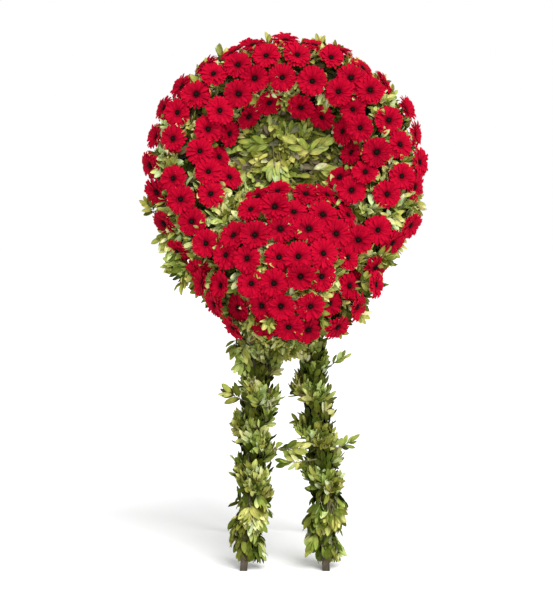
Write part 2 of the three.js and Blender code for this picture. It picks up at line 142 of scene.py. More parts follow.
def loose_flower(place, facing, seed):
    aside = np.array((scatter(seed + 3), 0, scatter(seed + 4))) * STRAY["side"]
    tilt = np.array((scatter(seed + 1), 0, scatter(seed + 2))) * STRAY["tilt"]
    forward = STRAY["forward"]
    return {
        "place": place + aside + facing * STRAY["depth"] * scatter(seed + 8),
        "facing": unit((1 - forward) * facing + forward * FORWARD + tilt),
        "scale": 1 + STRAY["size"] * scatter(seed + 5),
        "spin": math.pi * scatter(seed + 6),
        "seed": seed,
    }


RING_ROWS = [("inner", 152, -30, 210, 2), ("crest", 108, -34, 214, 3),
             ("outer", 64, -50, 230, 4), ("rim", 20, -59, 240, 5)]
BELLY_ROWS = [(1.228, 0.022, 4), (1.162, 0.038, 5), (1.092, -0.006, 5), (1.016, 0.010, 6),
              (0.940, 0.004, 8), (0.866, -0.002, 7), (0.796, 0.000, 5)]
PARTS_PER_ROW = 5
BELLY_SPACING = 0.080

flower_groups = {}
for row_number, (name, arch, first, last, per_group) in enumerate(RING_ROWS):
    count = PARTS_PER_ROW * per_group
    for i in range(count):
        seed = 100 * row_number + 7 * i
        place_arch = math.radians(arch + STRAY["arch"] * scatter(seed + 50))
        angle = math.radians(
            first + (last - first) * i / (count - 1) + STRAY["angle"] * scatter(seed + 60))
        group = f"gerberas_{name}_{i // per_group + 1}"
        flower_groups.setdefault(group, []).append(loose_flower(*ring_place(angle, place_arch), seed))
for row_number, (z, x, count) in enumerate(BELLY_ROWS):
    for i in range(count):
        seed = 1000 + 100 * row_number + 7 * i
        place, facing = belly_place(x + BELLY_SPACING * (i - (count - 1) / 2), z)
        group = f"gerberas_belly_{row_number + 1}"
        flower_groups.setdefault(group, []).append(loose_flower(place, facing, seed))

flowers = [flower for group in flower_groups.values() for flower in group]
print("flowers:", len(flowers), "in", len(flower_groups), "groups")

# %% [markdown]
# ## A blade, modelled once
# A wreath is thousands of leaves and petals, but of a few kinds. Each kind is modelled once, as a
# small grid one metre long that is tapered and bent row by row: every row is scaled to its width,
# moved to its height along the blade, and its two edge points are lifted, which gives the fold.

# %% Modelling a blade
def start_clean():
    if bpy.context.object and bpy.context.object.mode != "OBJECT":
        bpy.ops.object.mode_set(mode="OBJECT")
    bpy.ops.object.select_all(action="DESELECT")


def pick(obj, wanted):
    """Selects the vertices whose numbers are wanted, and leaves the object in edit mode."""
    bpy.ops.object.mode_set(mode="EDIT")
    bpy.ops.mesh.select_all(action="DESELECT")
    bpy.ops.object.mode_set(mode="OBJECT")
    for vertex in obj.data.vertices:
        vertex.select = vertex.index in wanted
    bpy.ops.object.mode_set(mode="EDIT")


def blade(name, rows):
    """A grid shaped row by row. rows: (height, width, lift, edge lift) from base to tip."""
    start_clean()
    last = len(rows) - 1
    bpy.ops.mesh.primitive_grid_add(x_subdivisions=2, y_subdivisions=last, size=1,
                                    location=(0, 0.5, 0), calc_uvs=True)
    obj = bpy.context.object
    obj.name = name
    bpy.ops.object.transform_apply(location=True)
    row_of = [round(vertex.co.y * last) for vertex in obj.data.vertices]
    edges = {vertex.index for vertex in obj.data.vertices if abs(vertex.co.x) > 0.1}
    for number, (height, width, lift, edge_lift) in enumerate(rows):
        row = {index for index, at in enumerate(row_of) if at == number}
        pick(obj, row)
        bpy.ops.transform.resize(value=(width, 1, 1), center_override=(0, 0, 0))
        bpy.ops.transform.translate(value=(0, height - number / last, lift))
        pick(obj, row & edges)
        bpy.ops.transform.translate(value=(0, 0, edge_lift))
    bpy.ops.object.mode_set(mode="OBJECT")
    return obj


# %% [markdown]
# ## From one blade to hundreds
# The finished blade is read into arrays, its template. A growth then places hundreds of copies at
# once, each by its own matrix, and makes one mesh of them all. Copying objects one by one would give
# the same picture, but more slowly. Every copy keeps the template's UV map, named growth,
# and gets one number of its own, its shade, that the materials turn into a colour.

# %% Templates
def to_template(obj):
    """Reads an object's mesh into arrays and removes the object."""
    mesh = obj.data
    points = np.empty(len(mesh.vertices) * 3)
    mesh.vertices.foreach_get("co", points)
    corners = np.empty(len(mesh.loops), int)
    mesh.loops.foreach_get("vertex_index", corners)
    sizes = np.empty(len(mesh.polygons), int)
    mesh.polygons.foreach_get("loop_total", sizes)
    uv = np.zeros(len(mesh.loops) * 2)
    if mesh.uv_layers:
        mesh.uv_layers.active.data.foreach_get("uv", uv)
    bpy.data.objects.remove(obj)
    return {"points": points.reshape(-1, 3), "corners": corners, "sizes": sizes,
            "uv": uv.reshape(-1, 2)}


# %% Growth
class Growth:
    """Collects placed copies of templates, and makes one smooth mesh of them."""

    def __init__(self):
        self.points, self.corners, self.sizes = [], [], []
        self.uv, self.shade, self.material = [], [], []
        self.total = 0

    def add(self, template, matrices, shades, material=0):
        matrices = np.asarray(matrices, float).reshape(-1, 4, 4)
        copies = len(matrices)
        local = template["points"]
        placed = np.einsum("kij,nj->kni", matrices[:, :3, :3], local) + matrices[:, None, :3, 3]
        offsets = self.total + len(local) * np.arange(copies)
        self.points.append(placed.reshape(-1, 3))
        self.corners.append((template["corners"][None] + offsets[:, None]).ravel())
        self.sizes.append(np.tile(template["sizes"], copies))
        self.uv.append(np.tile(template["uv"], (copies, 1)))
        self.shade.append(np.repeat(np.asarray(shades, float), len(local)))
        self.material.append(np.full(len(template["sizes"]) * copies, material))
        self.total += len(local) * copies

    def build(self, name, materials):
        points, corners = np.concatenate(self.points), np.concatenate(self.corners)
        sizes = np.concatenate(self.sizes)
        mesh = bpy.data.meshes.new(name)
        mesh.vertices.add(len(points))
        mesh.vertices.foreach_set("co", points.ravel())
        mesh.loops.add(len(corners))
        mesh.loops.foreach_set("vertex_index", corners)
        mesh.polygons.add(len(sizes))
        mesh.polygons.foreach_set("loop_start", np.concatenate(([0], np.cumsum(sizes)[:-1])))
        mesh.polygons.foreach_set("material_index", np.concatenate(self.material))
        mesh.polygons.foreach_set("use_smooth", np.ones(len(sizes), bool))
        mesh.uv_layers.new(name="growth").data.foreach_set("uv", np.concatenate(self.uv).ravel())
        shade = mesh.attributes.new("shade", "FLOAT", "POINT")
        shade.data.foreach_set("value", np.concatenate(self.shade))
        mesh.update(calc_edges=True)
        mesh.validate()
        obj = bpy.data.objects.new(name, mesh)
        scene.collection.objects.link(obj)
        for material in materials:
            mesh.materials.append(material)
        return obj


def axes_matrix(x_axis, y_axis, z_axis, origin):
    """A matrix that takes a template's axes to these, and its origin to this place."""
    matrix = np.eye(4)
    matrix[:3, 0], matrix[:3, 1], matrix[:3, 2], matrix[:3, 3] = x_axis, y_axis, z_axis, origin
    return matrix


def placing(base, along, facing, length, width):
    """A matrix that lays a blade at a place: Y along it, Z out of its face."""
    along = unit(along)
    side = unit(np.cross(along, facing))
    return axes_matrix(side * width, along * length, np.cross(side, along) * length, base)


# %% [markdown]
# ## Materials
# A material is a small tree of nodes. These helpers add the usual ones and hand on the socket that
# comes out, so that a material reads from top to bottom like a recipe.

# %% Helpers for node trees
def new_material(name, roughness=0.6):
    material = bpy.data.materials.new(name)
    material.use_nodes = True
    tree = material.node_tree
    shader = tree.nodes["Principled BSDF"]
    shader.inputs["Roughness"].default_value = roughness
    return material, tree, shader


def link(tree, source, target):
    tree.links.new(source, target)


def ramp(tree, factor, stops):
    made = tree.nodes.new("ShaderNodeValToRGB")
    elements = made.color_ramp.elements
    while len(elements) < len(stops):
        elements.new(0.5)
    for element, (position, color) in zip(elements, stops):
        element.position = position
        element.color = (*color, 1)
    link(tree, factor, made.inputs["Fac"])
    return made.outputs["Color"]


def mix_colors(tree, factor, first, second, blend="MIX"):
    made = tree.nodes.new("ShaderNodeMix")
    made.data_type = "RGBA"
    made.blend_type = blend
    for number, value in ((0, factor), (6, first), (7, second)):
        socket = made.inputs[number]
        if isinstance(value, bpy.types.NodeSocket):
            link(tree, value, socket)
        elif isinstance(value, tuple):
            socket.default_value = (*value, 1)
        else:
            socket.default_value = value
    return made.outputs[2]


def calculate(tree, operation, *values, clamp=False):
    made = tree.nodes.new("ShaderNodeMath")
    made.operation = operation
    made.use_clamp = clamp
    for socket, value in zip(made.inputs, values):
        if isinstance(value, bpy.types.NodeSocket):
            link(tree, value, socket)
        else:
            socket.default_value = value
    return made.outputs[0]


def add_bump(tree, shader, height, strength, distance):
    made = tree.nodes.new("ShaderNodeBump")
    made.inputs["Strength"].default_value = strength
    made.inputs["Distance"].default_value = distance
    link(tree, height, made.inputs["Height"])
    link(tree, made.outputs["Normal"], shader.inputs["Normal"])


# %% [markdown]
# Petals and leaves take their pattern from their own grid: one direction runs along the blade, the
# other across it. Each copy's shade goes through a ramp that makes it a colour, so no two neighbours
# look quite alike, as on a real plant. Timber, board and straw take theirs from the place on the
# piece, as noise that is stretched along the grain.

# %% Helpers for patterns
def blade_coordinates(tree):
    """The blade's own grid, the way across it and along it, and the copy's own shade."""
    grid = tree.nodes.new("ShaderNodeUVMap")
    grid.uv_map = "growth"
    split = tree.nodes.new("ShaderNodeSeparateXYZ")
    link(tree, grid.outputs["UV"], split.inputs[0])
    own = tree.nodes.new("ShaderNodeAttribute")
    own.attribute_name = "shade"
    return {"grid": grid.outputs["UV"], "across": split.outputs["X"], "along": split.outputs["Y"],
            "shade": own.outputs["Fac"]}


def from_midline(tree, across):
    """How far a point is from the blade's midline: 0 on it, 0.5 at either edge."""
    return calculate(tree, "ABSOLUTE", calculate(tree, "SUBTRACT", across, 0.5))


def object_place(tree):
    """A point's place on its piece, in metres."""
    return tree.nodes.new("ShaderNodeTexCoord").outputs["Object"]


def object_noise(tree, scale, detail=4, stretch=(1, 1, 1), roughness=0.55):
    mapping = tree.nodes.new("ShaderNodeMapping")
    mapping.inputs["Scale"].default_value = stretch
    link(tree, object_place(tree), mapping.inputs["Vector"])
    noise = tree.nodes.new("ShaderNodeTexNoise")
    noise.inputs["Scale"].default_value = scale
    noise.inputs["Detail"].default_value = detail
    noise.inputs["Roughness"].default_value = roughness
    link(tree, mapping.outputs["Vector"], noise.inputs["Vector"])
    return noise.outputs["Fac"]


# %% [markdown]
# ### Bay leaves
# A bay leaf is leathery and half glossy. Its midrib is a pale line, thin side veins run from it
# towards the edge, and the blade between them is a little puffed, which the bump shows. Young leaves
# are yellow-green, old ones dark olive, and some tips are dry.

# %% Leaf material
LEAF_PATCHES = [  # noise scale and detail, strength, tints
    (60, 3, 0.6, [(0.30, (0.50, 0.55, 0.45)), (0.55, (0.95, 0.95, 0.85)),
                  (0.72, (1.25, 1.15, 0.95))]),
    (16, 2, 0.8, [(0.40, (0.66, 0.88, 0.70)), (0.60, (1.06, 1.0, 0.95))]),
]
RIB_SHARPNESS = 14       # the rib fades out over one part in this many of the leaf's width


def leaf_material(name, shades):
    """shades: (position, colour) from the dead leaves to the palest."""
    material, tree, shader = new_material(name, roughness=0.5)
    at = blade_coordinates(tree)
    color = ramp(tree, at["shade"], shades)
    for scale, detail, strength, tints in LEAF_PATCHES:
        patches = ramp(tree, object_noise(tree, scale, detail), tints)
        color = mix_colors(tree, strength, color, patches, "MULTIPLY")
    from_rib = from_midline(tree, at["across"])
    off_rib = calculate(tree, "MULTIPLY", from_rib, RIB_SHARPNESS)
    rib = calculate(tree, "SUBTRACT", 1.0, off_rib, clamp=True)
    slanting = calculate(tree, "ADD", calculate(tree, "MULTIPLY", at["along"], 58),
                         calculate(tree, "MULTIPLY", from_rib, -24))
    veins = calculate(tree, "SINE", slanting)
    past_blade = calculate(tree, "SUBTRACT", from_rib, 0.36, clamp=True)
    margin = calculate(tree, "MULTIPLY", past_blade, 5, clamp=True)
    for share, tint in ((rib, (1.50, 1.42, 2.0)),
                        (calculate(tree, "MULTIPLY", veins, 0.30, clamp=True), (1.5, 1.45, 1.7)),
                        (margin, (0.72, 0.76, 0.60))):
        color = mix_colors(tree, share, color, tint, "MULTIPLY")
    # Painted shade: each leaf darkens towards its base, where it is tucked in under the others.
    foot = ramp(tree, at["along"], [(0.0, (0.35, 0.35, 0.30)), (0.35, (1, 1, 1))])
    color = mix_colors(tree, 1.0, color, foot, "MULTIPLY")
    link(tree, color, shader.inputs["Base Color"])
    relief = calculate(tree, "ADD", calculate(tree, "MULTIPLY", rib, -0.7),
                       calculate(tree, "MULTIPLY", veins, 0.25))
    add_bump(tree, shader, relief, 0.6, 0.0008)
    shader.inputs["Specular IOR Level"].default_value = 0.08
    return material


# %% [markdown]
# Three mixes of leaves are needed: mature ones on the legs, younger ones on the head, and in the nest
# a quieter mix with some dead leaves. A ramp's first stop is a dead leaf, the next ones go from a
# near-black green, painted shade for the deep leaves of beds and bunches, through the old leaves to
# the palest young ones.

# %% Three mixes of leaves
leg_leaf = leaf_material("bay_leaf_mature", [
    (0.0, (0.14, 0.09, 0.04)), (0.06, (0.016, 0.020, 0.001)), (0.28, (0.085, 0.102, 0.008)),
    (0.52, (0.32, 0.332, 0.066)), (0.76, (0.54, 0.550, 0.200)), (0.92, (0.72, 0.715, 0.39)),
    (1.0, (0.56, 0.57, 0.35))])
head_leaf = leaf_material("bay_leaf_young", [
    (0.0, (0.20, 0.13, 0.06)), (0.06, (0.020, 0.024, 0.002)), (0.28, (0.12, 0.130, 0.014)),
    (0.52, (0.385, 0.385, 0.084)), (0.76, (0.63, 0.61, 0.22)), (0.92, (0.78, 0.74, 0.39)),
    (1.0, (0.65, 0.65, 0.38))])
nest_leaf = leaf_material("bay_leaf_nest", [
    (0.0, (0.15, 0.12, 0.075)), (0.10, (0.18, 0.155, 0.10)), (0.14, (0.024, 0.028, 0.003)),
    (0.30, (0.14, 0.148, 0.018)), (0.54, (0.33, 0.330, 0.066)), (0.78, (0.47, 0.46, 0.130)),
    (0.92, (0.57, 0.545, 0.21)), (1.0, (0.48, 0.50, 0.28))])

# %% [markdown]
# ### Petals, eye and stem of a gerbera
# The ray petals are a deep, warm red with fine lengthwise lines, and darken towards the heart. The
# eye is nearly black, a cushion of tiny florets. The stem and the scaly cup under the flower are
# green.

# %% Flower materials
def petal_material():
    """Red by the petal's shade, with fine lines along it, darker at the heart, and with painted shade
    along its edges where the petals overlap.
    """
    material, tree, shader = new_material("gerbera_petal", roughness=0.75)
    at = blade_coordinates(tree)
    stretch = tree.nodes.new("ShaderNodeMapping")
    stretch.inputs["Scale"].default_value = (9, 0.9, 1)
    link(tree, at["grid"], stretch.inputs["Vector"])
    lines = tree.nodes.new("ShaderNodeTexNoise")
    lines.inputs["Scale"].default_value = 2.2
    lines.inputs["Detail"].default_value = 2
    link(tree, stretch.outputs["Vector"], lines.inputs["Vector"])
    color = ramp(tree, at["shade"], [(0, (0.09, 0.0, 0.006)), (0.3, (0.31, 0.0009, 0.015)),
                                     (0.6, (0.45, 0.0012, 0.021)), (1, (0.51, 0.0024, 0.026))])
    color = mix_colors(tree, 0.6, color, ramp(tree, lines.outputs["Fac"], [
        (0.32, (0.62, 0.5, 0.55)), (0.62, (1, 1, 1))]), "MULTIPLY")
    color = mix_colors(tree, 1.0, color, ramp(tree, at["along"], [
        (0, (0.42, 0.45, 0.50)), (0.24, (0.86, 0.86, 0.86)), (0.5, (1, 1, 1))]), "MULTIPLY")
    # Painted shade along each petal's edges, where the petals overlap.
    color = mix_colors(tree, 1.0, color, ramp(tree, from_midline(tree, at["across"]), [
        (0.34, (1, 1, 1)), (0.5, (0.72, 0.7, 0.7))]), "MULTIPLY")
    link(tree, color, shader.inputs["Base Color"])
    add_bump(tree, shader, lines.outputs["Fac"], 0.5, 0.0008)
    shader.inputs["Specular IOR Level"].default_value = 0.03
    return material


def eye_material():
    """Small cells for the florets, crimson low on the cushion and nearly black on top."""
    material, tree, shader = new_material("gerbera_eye", roughness=0.9)
    florets = tree.nodes.new("ShaderNodeTexVoronoi")
    florets.inputs["Scale"].default_value = 900
    link(tree, object_place(tree), florets.inputs["Vector"])
    color = ramp(tree, blade_coordinates(tree)["along"], [
        (0.45, (0.06, 0.001, 0.004)), (0.62, (0.010, 0.002, 0.003)),
        (0.85, (0.006, 0.004, 0.003)), (0.97, (0.016, 0.013, 0.008))])
    color = mix_colors(tree, 0.6, color, ramp(tree, florets.outputs["Distance"], [
        (0, (1.6, 1.5, 1.3)), (0.5, (0.5, 0.5, 0.5))]), "MULTIPLY")
    link(tree, color, shader.inputs["Base Color"])
    add_bump(tree, shader, florets.outputs["Distance"], 0.8, 0.0008)
    shader.inputs["Specular IOR Level"].default_value = 0.06
    return material


def stem_material():
    """Green with fine fuzz along it."""
    material, tree, shader = new_material("gerbera_stem", roughness=0.6)
    fuzz = object_noise(tree, 220, detail=2, stretch=(1, 1, 0.2))
    link(tree, ramp(tree, fuzz, [(0.3, (0.08, 0.14, 0.03)), (0.7, (0.20, 0.28, 0.08))]),
         shader.inputs["Base Color"])
    add_bump(tree, shader, fuzz, 0.3, 0.0008)
    return material


petal_red, eye_black, stem_green = petal_material(), eye_material(), stem_material()

# %% [markdown]
# ### Timber
# Sawn laths show long grain, saw marks across it and grey weathering, and their feet are darker near
# the floor. The grain follows the piece, so uprights and rails get their own copy of the material,
# stretched their own way.

# %% Timber
DARK_FOOT_REACH = 0.10        # up the feet


def darkened_near_floor(tree, color):
    """Darkens a colour near the floor, further up in some places than in others."""
    split = tree.nodes.new("ShaderNodeSeparateXYZ")
    link(tree, object_place(tree), split.inputs[0])
    height = calculate(tree, "MULTIPLY", split.outputs["Z"], 0.6 / DARK_FOOT_REACH)
    edge = calculate(tree, "ADD", height, calculate(tree, "MULTIPLY", object_noise(tree, 45), 0.5))
    foot_darkening = ramp(tree, edge, [
        (0.30, (0.30, 0.29, 0.22)), (0.55, (0.42, 0.40, 0.32)), (0.85, (1, 1, 1))])
    return mix_colors(tree, 1.0, color, foot_darkening, "MULTIPLY")


def timber_material(name, stretch):
    material, tree, shader = new_material(name, roughness=0.8)
    grain = object_noise(tree, 110, detail=6, stretch=stretch, roughness=0.7)
    weather = object_noise(tree, 7, detail=3)
    color = ramp(tree, grain, [(0.30, (0.022, 0.014, 0.009)), (0.43, (0.075, 0.050, 0.032)),
                               (0.54, (0.17, 0.125, 0.082)), (0.70, (0.30, 0.235, 0.165))])
    color = mix_colors(tree, ramp(tree, weather, [(0.42, (0, 0, 0)), (0.66, (0.6, 0.6, 0.6))]), color,
                       (0.15, 0.135, 0.12))
    link(tree, darkened_near_floor(tree, color), shader.inputs["Base Color"])
    saw = object_noise(tree, 160, detail=2, stretch=tuple(1.2 - min(v, 1) for v in stretch))
    relief = calculate(tree, "ADD", grain, calculate(tree, "MULTIPLY", saw, 0.3))
    add_bump(tree, shader, relief, 0.5, 0.0015)
    return material


timber_upright = timber_material("sawn_timber_upright", (1, 1, 0.06))
timber_across = timber_material("sawn_timber_across", (0.06, 1, 1))
timber_back = timber_material("sawn_timber_back", (1, 0.06, 1))


# %% [markdown]
# ### Board, straw, painted shade, twigs and wire
# The board is pressed fibre with darker chips and wide stains from the wet leaves. The other stuffs
# have one pattern each, so one function makes them all: a noise that gives both colour and relief.
# The near-black filling inside a bed is painted shade: it darkens the gaps between the leaves of a
# bed.

# %% Board
def board_material():
    material, tree, shader = new_material("fibre_board", roughness=0.85)
    fibres = object_noise(tree, 260, detail=4, stretch=(1, 1, 0.35))
    chips = object_noise(tree, 90, detail=2, stretch=(0.5, 1, 1))
    color = ramp(tree, fibres, [
        (0.32, (0.17, 0.11, 0.06)), (0.5, (0.31, 0.215, 0.125)), (0.68, (0.43, 0.32, 0.20))])
    color = mix_colors(tree, ramp(tree, chips, [(0.62, (0, 0, 0)), (0.70, (0.7, 0.7, 0.7))]), color,
                       (0.14, 0.085, 0.045))
    color = mix_colors(tree, ramp(tree, object_noise(tree, 5, detail=5), [
        (0.50, (0, 0, 0)), (0.64, (0.55, 0.55, 0.55))]), color, (0.13, 0.095, 0.06))
    link(tree, color, shader.inputs["Base Color"])
    add_bump(tree, shader, calculate(tree, "ADD", fibres, chips), 0.35, 0.0015)
    return material


fibre_board = board_material()


# %% Straw, painted shade, twigs and wire
def plain_material(name, stops, scale, strength, stretch=(1, 1, 1), roughness=0.85, metallic=0.0):
    material, tree, shader = new_material(name, roughness)
    noise = object_noise(tree, scale, detail=5, stretch=stretch)
    link(tree, ramp(tree, noise, stops), shader.inputs["Base Color"])
    add_bump(tree, shader, noise, strength, 0.002)
    shader.inputs["Metallic"].default_value = metallic
    return material


straw = plain_material("packed_straw", [
    (0.32, (0.12, 0.08, 0.03)), (0.50, (0.45, 0.34, 0.14)), (0.66, (0.70, 0.57, 0.29))],
    190, 1.0, (1, 1, 0.09))
# A near-black filling: painted shade for the inside of a leaf bed.
painted_shade_fill = plain_material("painted_shade_of_bed", [
    (0.3, (0.004, 0.004, 0.002)), (0.5, (0.014, 0.015, 0.004)), (0.7, (0.045, 0.042, 0.016))],
    70, 1.0)
twig_bark = plain_material("twig_bark", [
    (0.3, (0.055, 0.042, 0.022)), (0.7, (0.17, 0.14, 0.075))], 120, 0.6)
steel_wire = plain_material("steel_wire", [
    (0.3, (0.20, 0.20, 0.20)), (0.7, (0.42, 0.42, 0.43))], 300, 0.1, roughness=0.4, metallic=0.9)

# %% [markdown]
# ## Leaf and petal templates
# A leaf is a grid with a fold down its middle: the edges are lifted a little above the midrib, and
# the whole blade curls back towards its tip. Five kinds with different curl are enough, because each
# copy is also turned, stretched and shaded by itself.

# %% Bay leaf templates
# Height along the leaf and width there, as shares of its length and of its greatest width
LEAF_OUTLINE = [(0, 0.10), (0.13, 0.44), (0.33, 0.84), (0.55, 1.0), (0.76, 0.86), (0.92, 0.48),
                (1.0, 0.09)]
LEAF_SHAPES = [  # curl, wave, fold
    (-0.24, 0.02, 0.10), (-0.08, 0.045, 0.14), (0.12, -0.02, 0.08), (-0.40, 0.0, 0.06),
    (-0.15, -0.04, -0.08)]


def bay_leaf(curl, wave, fold):
    return to_template(blade("leaf_template", [
        (height, width, curl * height ** 2 + wave * math.sin(5.5 * height), fold * width)
        for height, width in LEAF_OUTLINE]))


leaf_kinds = [bay_leaf(*shape) for shape in LEAF_SHAPES]
print("leaf:", len(leaf_kinds[0]["sizes"]), "faces")

# %% [markdown]
# A gerbera is made of ray petals in several whorls. The outer whorl is long and lies nearly flat, the
# next ones are shorter and stand up more, and a fringe of tiny florets closes round the dark eye.

# %% Petal templates
PETAL_OUTLINE = [(0, 0.40), (0.38, 0.88), (0.74, 1.0), (0.93, 0.82), (1.0, 0.40)]
PETAL_SHAPES = [(0.05, 0.03), (0.15, 0.045), (-0.03, 0.02)]  # droop, channel


def ray_petal(droop, channel):
    return to_template(blade("petal_template", [
        (height, width, 0.10 * math.sin(2.6 * height) - droop * height ** 2, channel * width)
        for height, width in PETAL_OUTLINE]))


petal_kinds = [ray_petal(*shape) for shape in PETAL_SHAPES]
print("petal:", len(petal_kinds[0]["sizes"]), "faces")

# %% [markdown]
# The eye is a sphere cut in half, flattened, with its top pushed in to a dimple. The calyx is a thin
# stem whose upper end is extruded and widened three times, into the scaly cup that holds the petals.

# %% Eye and calyx
def eye_template():
    """The eye: a cushion with a dimple, wide as one metre until it is placed."""
    start_clean()
    bpy.ops.mesh.primitive_uv_sphere_add(segments=12, ring_count=8, radius=0.5)
    obj = bpy.context.object
    bpy.ops.object.mode_set(mode="EDIT")
    bpy.ops.mesh.bisect(plane_co=(0, 0, -0.02), plane_no=(0, 0, 1), clear_inner=True)
    bpy.ops.mesh.select_all(action="SELECT")
    bpy.ops.transform.resize(value=(1, 1, 0.62), center_override=(0, 0, 0))
    bpy.ops.object.mode_set(mode="OBJECT")
    for vertex in obj.data.vertices:
        vertex.select = vertex.co.xy.length < 0.14 and vertex.co.z > 0.1
    bpy.ops.object.mode_set(mode="EDIT")
    bpy.ops.transform.translate(value=(0, 0, -0.09))
    bpy.ops.object.mode_set(mode="OBJECT")
    return to_template(obj)


def calyx_template():
    """The green cup and the stem, along minus Z, in metres."""
    start_clean()
    bpy.ops.mesh.primitive_cylinder_add(vertices=8, radius=0.0032, depth=0.046,
                                        location=(0, 0, -0.035))
    obj = bpy.context.object
    bpy.ops.object.transform_apply(location=True)
    bpy.ops.object.mode_set(mode="EDIT")
    bpy.ops.mesh.select_all(action="DESELECT")
    bpy.ops.mesh.select_mode(type="FACE")
    bpy.ops.object.mode_set(mode="OBJECT")
    for face in obj.data.polygons:
        face.select = face.normal.z > 0.9
    bpy.ops.object.mode_set(mode="EDIT")
    for rise, grow in ((0.002, 2.2), (0.005, 1.5), (0.004, 1.35)):
        bpy.ops.mesh.extrude_region_move(TRANSFORM_OT_translate={"value": (0, 0, rise)})
        bpy.ops.transform.resize(value=(grow, grow, 1), center_override=(0, 0, 0))
    bpy.ops.object.mode_set(mode="OBJECT")
    return to_template(obj)


eye, calyx = eye_template(), calyx_template()
print("eye:", len(eye["sizes"]), "faces, calyx:", len(calyx["sizes"]), "faces")

# %% [markdown]
# ## The gerberas
# A flower's whorls are laid out round its own axis and then placed with the flower. Lengths, angles
# and shades differ from petal to petal. About one flower in five is a little more closed than the
# others, and most sag a little to one side.

# %% Laying out one flower
WHORLS = [
    # petals, length, width, start radius, rise angle, shade
    (28, 0.0425, 0.0112, 0.006, 3, 0.66),
    (25, 0.0360, 0.0104, 0.006, 9, 0.62),
    (21, 0.0230, 0.0080, 0.008, 15, 0.52),
    (26, 0.0065, 0.0034, 0.0082, 36, 0.24),
]
WHORL_STEP = 0.0012      # each whorl starts this much above the one outside it
EYE_WIDTH, EYE_RISE = 0.0198, 0.0035


def flower_axes(flower):
    """A matrix that stands a flower at its place: Z out of its face."""
    facing = flower["facing"]
    side = unit(np.cross(facing, (0.31, 0.2, 0.93)))
    up = np.cross(facing, side)
    turn = flower["spin"]
    first = side * math.cos(turn) + up * math.sin(turn)
    matrix = axes_matrix(first, np.cross(facing, first), facing, flower["place"])
    matrix[:3, :3] *= flower["scale"]
    return TO_SCENE @ matrix


def petal_matrix(random, turn, lift, start, height, length, width):
    """Places one petal of a flower that stands at the origin and faces up Z."""
    out = np.array((math.cos(turn), math.sin(turn), 0))
    along = out * math.cos(lift) + np.array((0, 0, math.sin(lift)))
    roll = np.cross(out, (0, 0, 1)) * random.normal(0, 0.12)
    return placing(out * start + np.array((0, 0, height)), along, np.array((0, 0, 1)) + roll,
                   length * random.uniform(0.93, 1.05), width * random.uniform(0.9, 1.1))


def grow_flower(growth, flower):
    """Adds one flower: its whorls of petals, its eye and its stem."""
    random = np.random.default_rng(int(flower["seed"]) + 17)
    stand = flower_axes(flower)
    closed = random.uniform(8, 22) if random.random() < 0.2 else random.uniform(-3, 5)
    sag, sag_side = abs(random.normal(0, 7)), random.uniform(0, 2 * math.pi)
    tone = random.uniform(-0.20, 0.14)
    for number, (count, length, width, start, rise, shade) in enumerate(WHORLS):
        matrices, shades, kinds = [], [], random.integers(0, len(petal_kinds), count)
        phase = random.uniform(0, 2 * math.pi)
        for i in range(count):
            turn = phase + 2 * math.pi * (i + random.uniform(-0.2, 0.2)) / count
            drop = sag * math.cos(turn - sag_side)
            lift = math.radians(rise + closed + drop + random.normal(0, 3.5))
            petal = petal_matrix(random, turn, lift, start, WHORL_STEP * number, length, width)
            matrices.append(stand @ petal)
            shades.append(np.clip(shade + tone + random.normal(0, 0.09), 0, 1))
        for kind, template in enumerate(petal_kinds):
            chosen = np.flatnonzero(kinds == kind)
            if len(chosen):
                growth.add(template, np.array(matrices)[chosen], np.array(shades)[chosen], 0)
    cushion = np.diag((EYE_WIDTH, EYE_WIDTH, EYE_WIDTH, 1))
    cushion[2, 3] = EYE_RISE
    growth.add(eye, stand @ cushion, [0.5], 1)
    growth.add(calyx, stand, [0.5], 2)


# %% [markdown]
# Each group of flowers in the frame becomes one piece, with three materials: 0 is the petals, 1 the
# eyes, 2 the stems. The group stands for the frame's solid of the same name.

# %% Growing every group of flowers
for name, members in flower_groups.items():
    growth = Growth()
    for flower in members:
        grow_flower(growth, flower)
    piece = growth.build(name + "_in_bloom", [petal_red, eye_black, stem_green])
    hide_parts(name)
    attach(piece, "root")
print("flowers grown; faces of the last group:", len(piece.data.polygons))

# %% [markdown]
# ## Sprigs
# Bay leaves come on twigs. A twig is a thin cone, one metre long until it is placed, that is cut in
# the middle and bent a little to one side there.

# %% A twig
def make_twig_template():
    start_clean()
    bpy.ops.mesh.primitive_cone_add(vertices=5, radius1=0.0022, radius2=0.0012, depth=1,
                                    location=(0, 0, 0.5))
    obj = bpy.context.object
    bpy.ops.object.transform_apply(location=True)
    bpy.ops.object.mode_set(mode="EDIT")
    bpy.ops.mesh.select_all(action="SELECT")
    bpy.ops.mesh.bisect(plane_co=(0, 0, 0.5), plane_no=(0, 0, 1))
    bpy.ops.transform.translate(value=(0.004, 0.003, 0))
    bpy.ops.object.mode_set(mode="OBJECT")
    return to_template(obj)


twig_template = make_twig_template()
print("twig:", len(twig_template["sizes"]), "faces")

# %% [markdown]
# Leaves crowd towards the end of a twig. On a free sprig they turn round it by the golden angle, 2.4
# radians from one to the next, and make a rosette. A sprig that lies on a bed is flat instead: its
# leaves alternate on both sides and look the way that the bed faces. Leaves near the twig's foot
# open wider than those at its tip.

# %% The leaves of one sprig
def any_side(direction, random):
    """A unit vector square to a direction, turned at random."""
    return unit(np.cross(direction, unit(random.normal(size=3))))


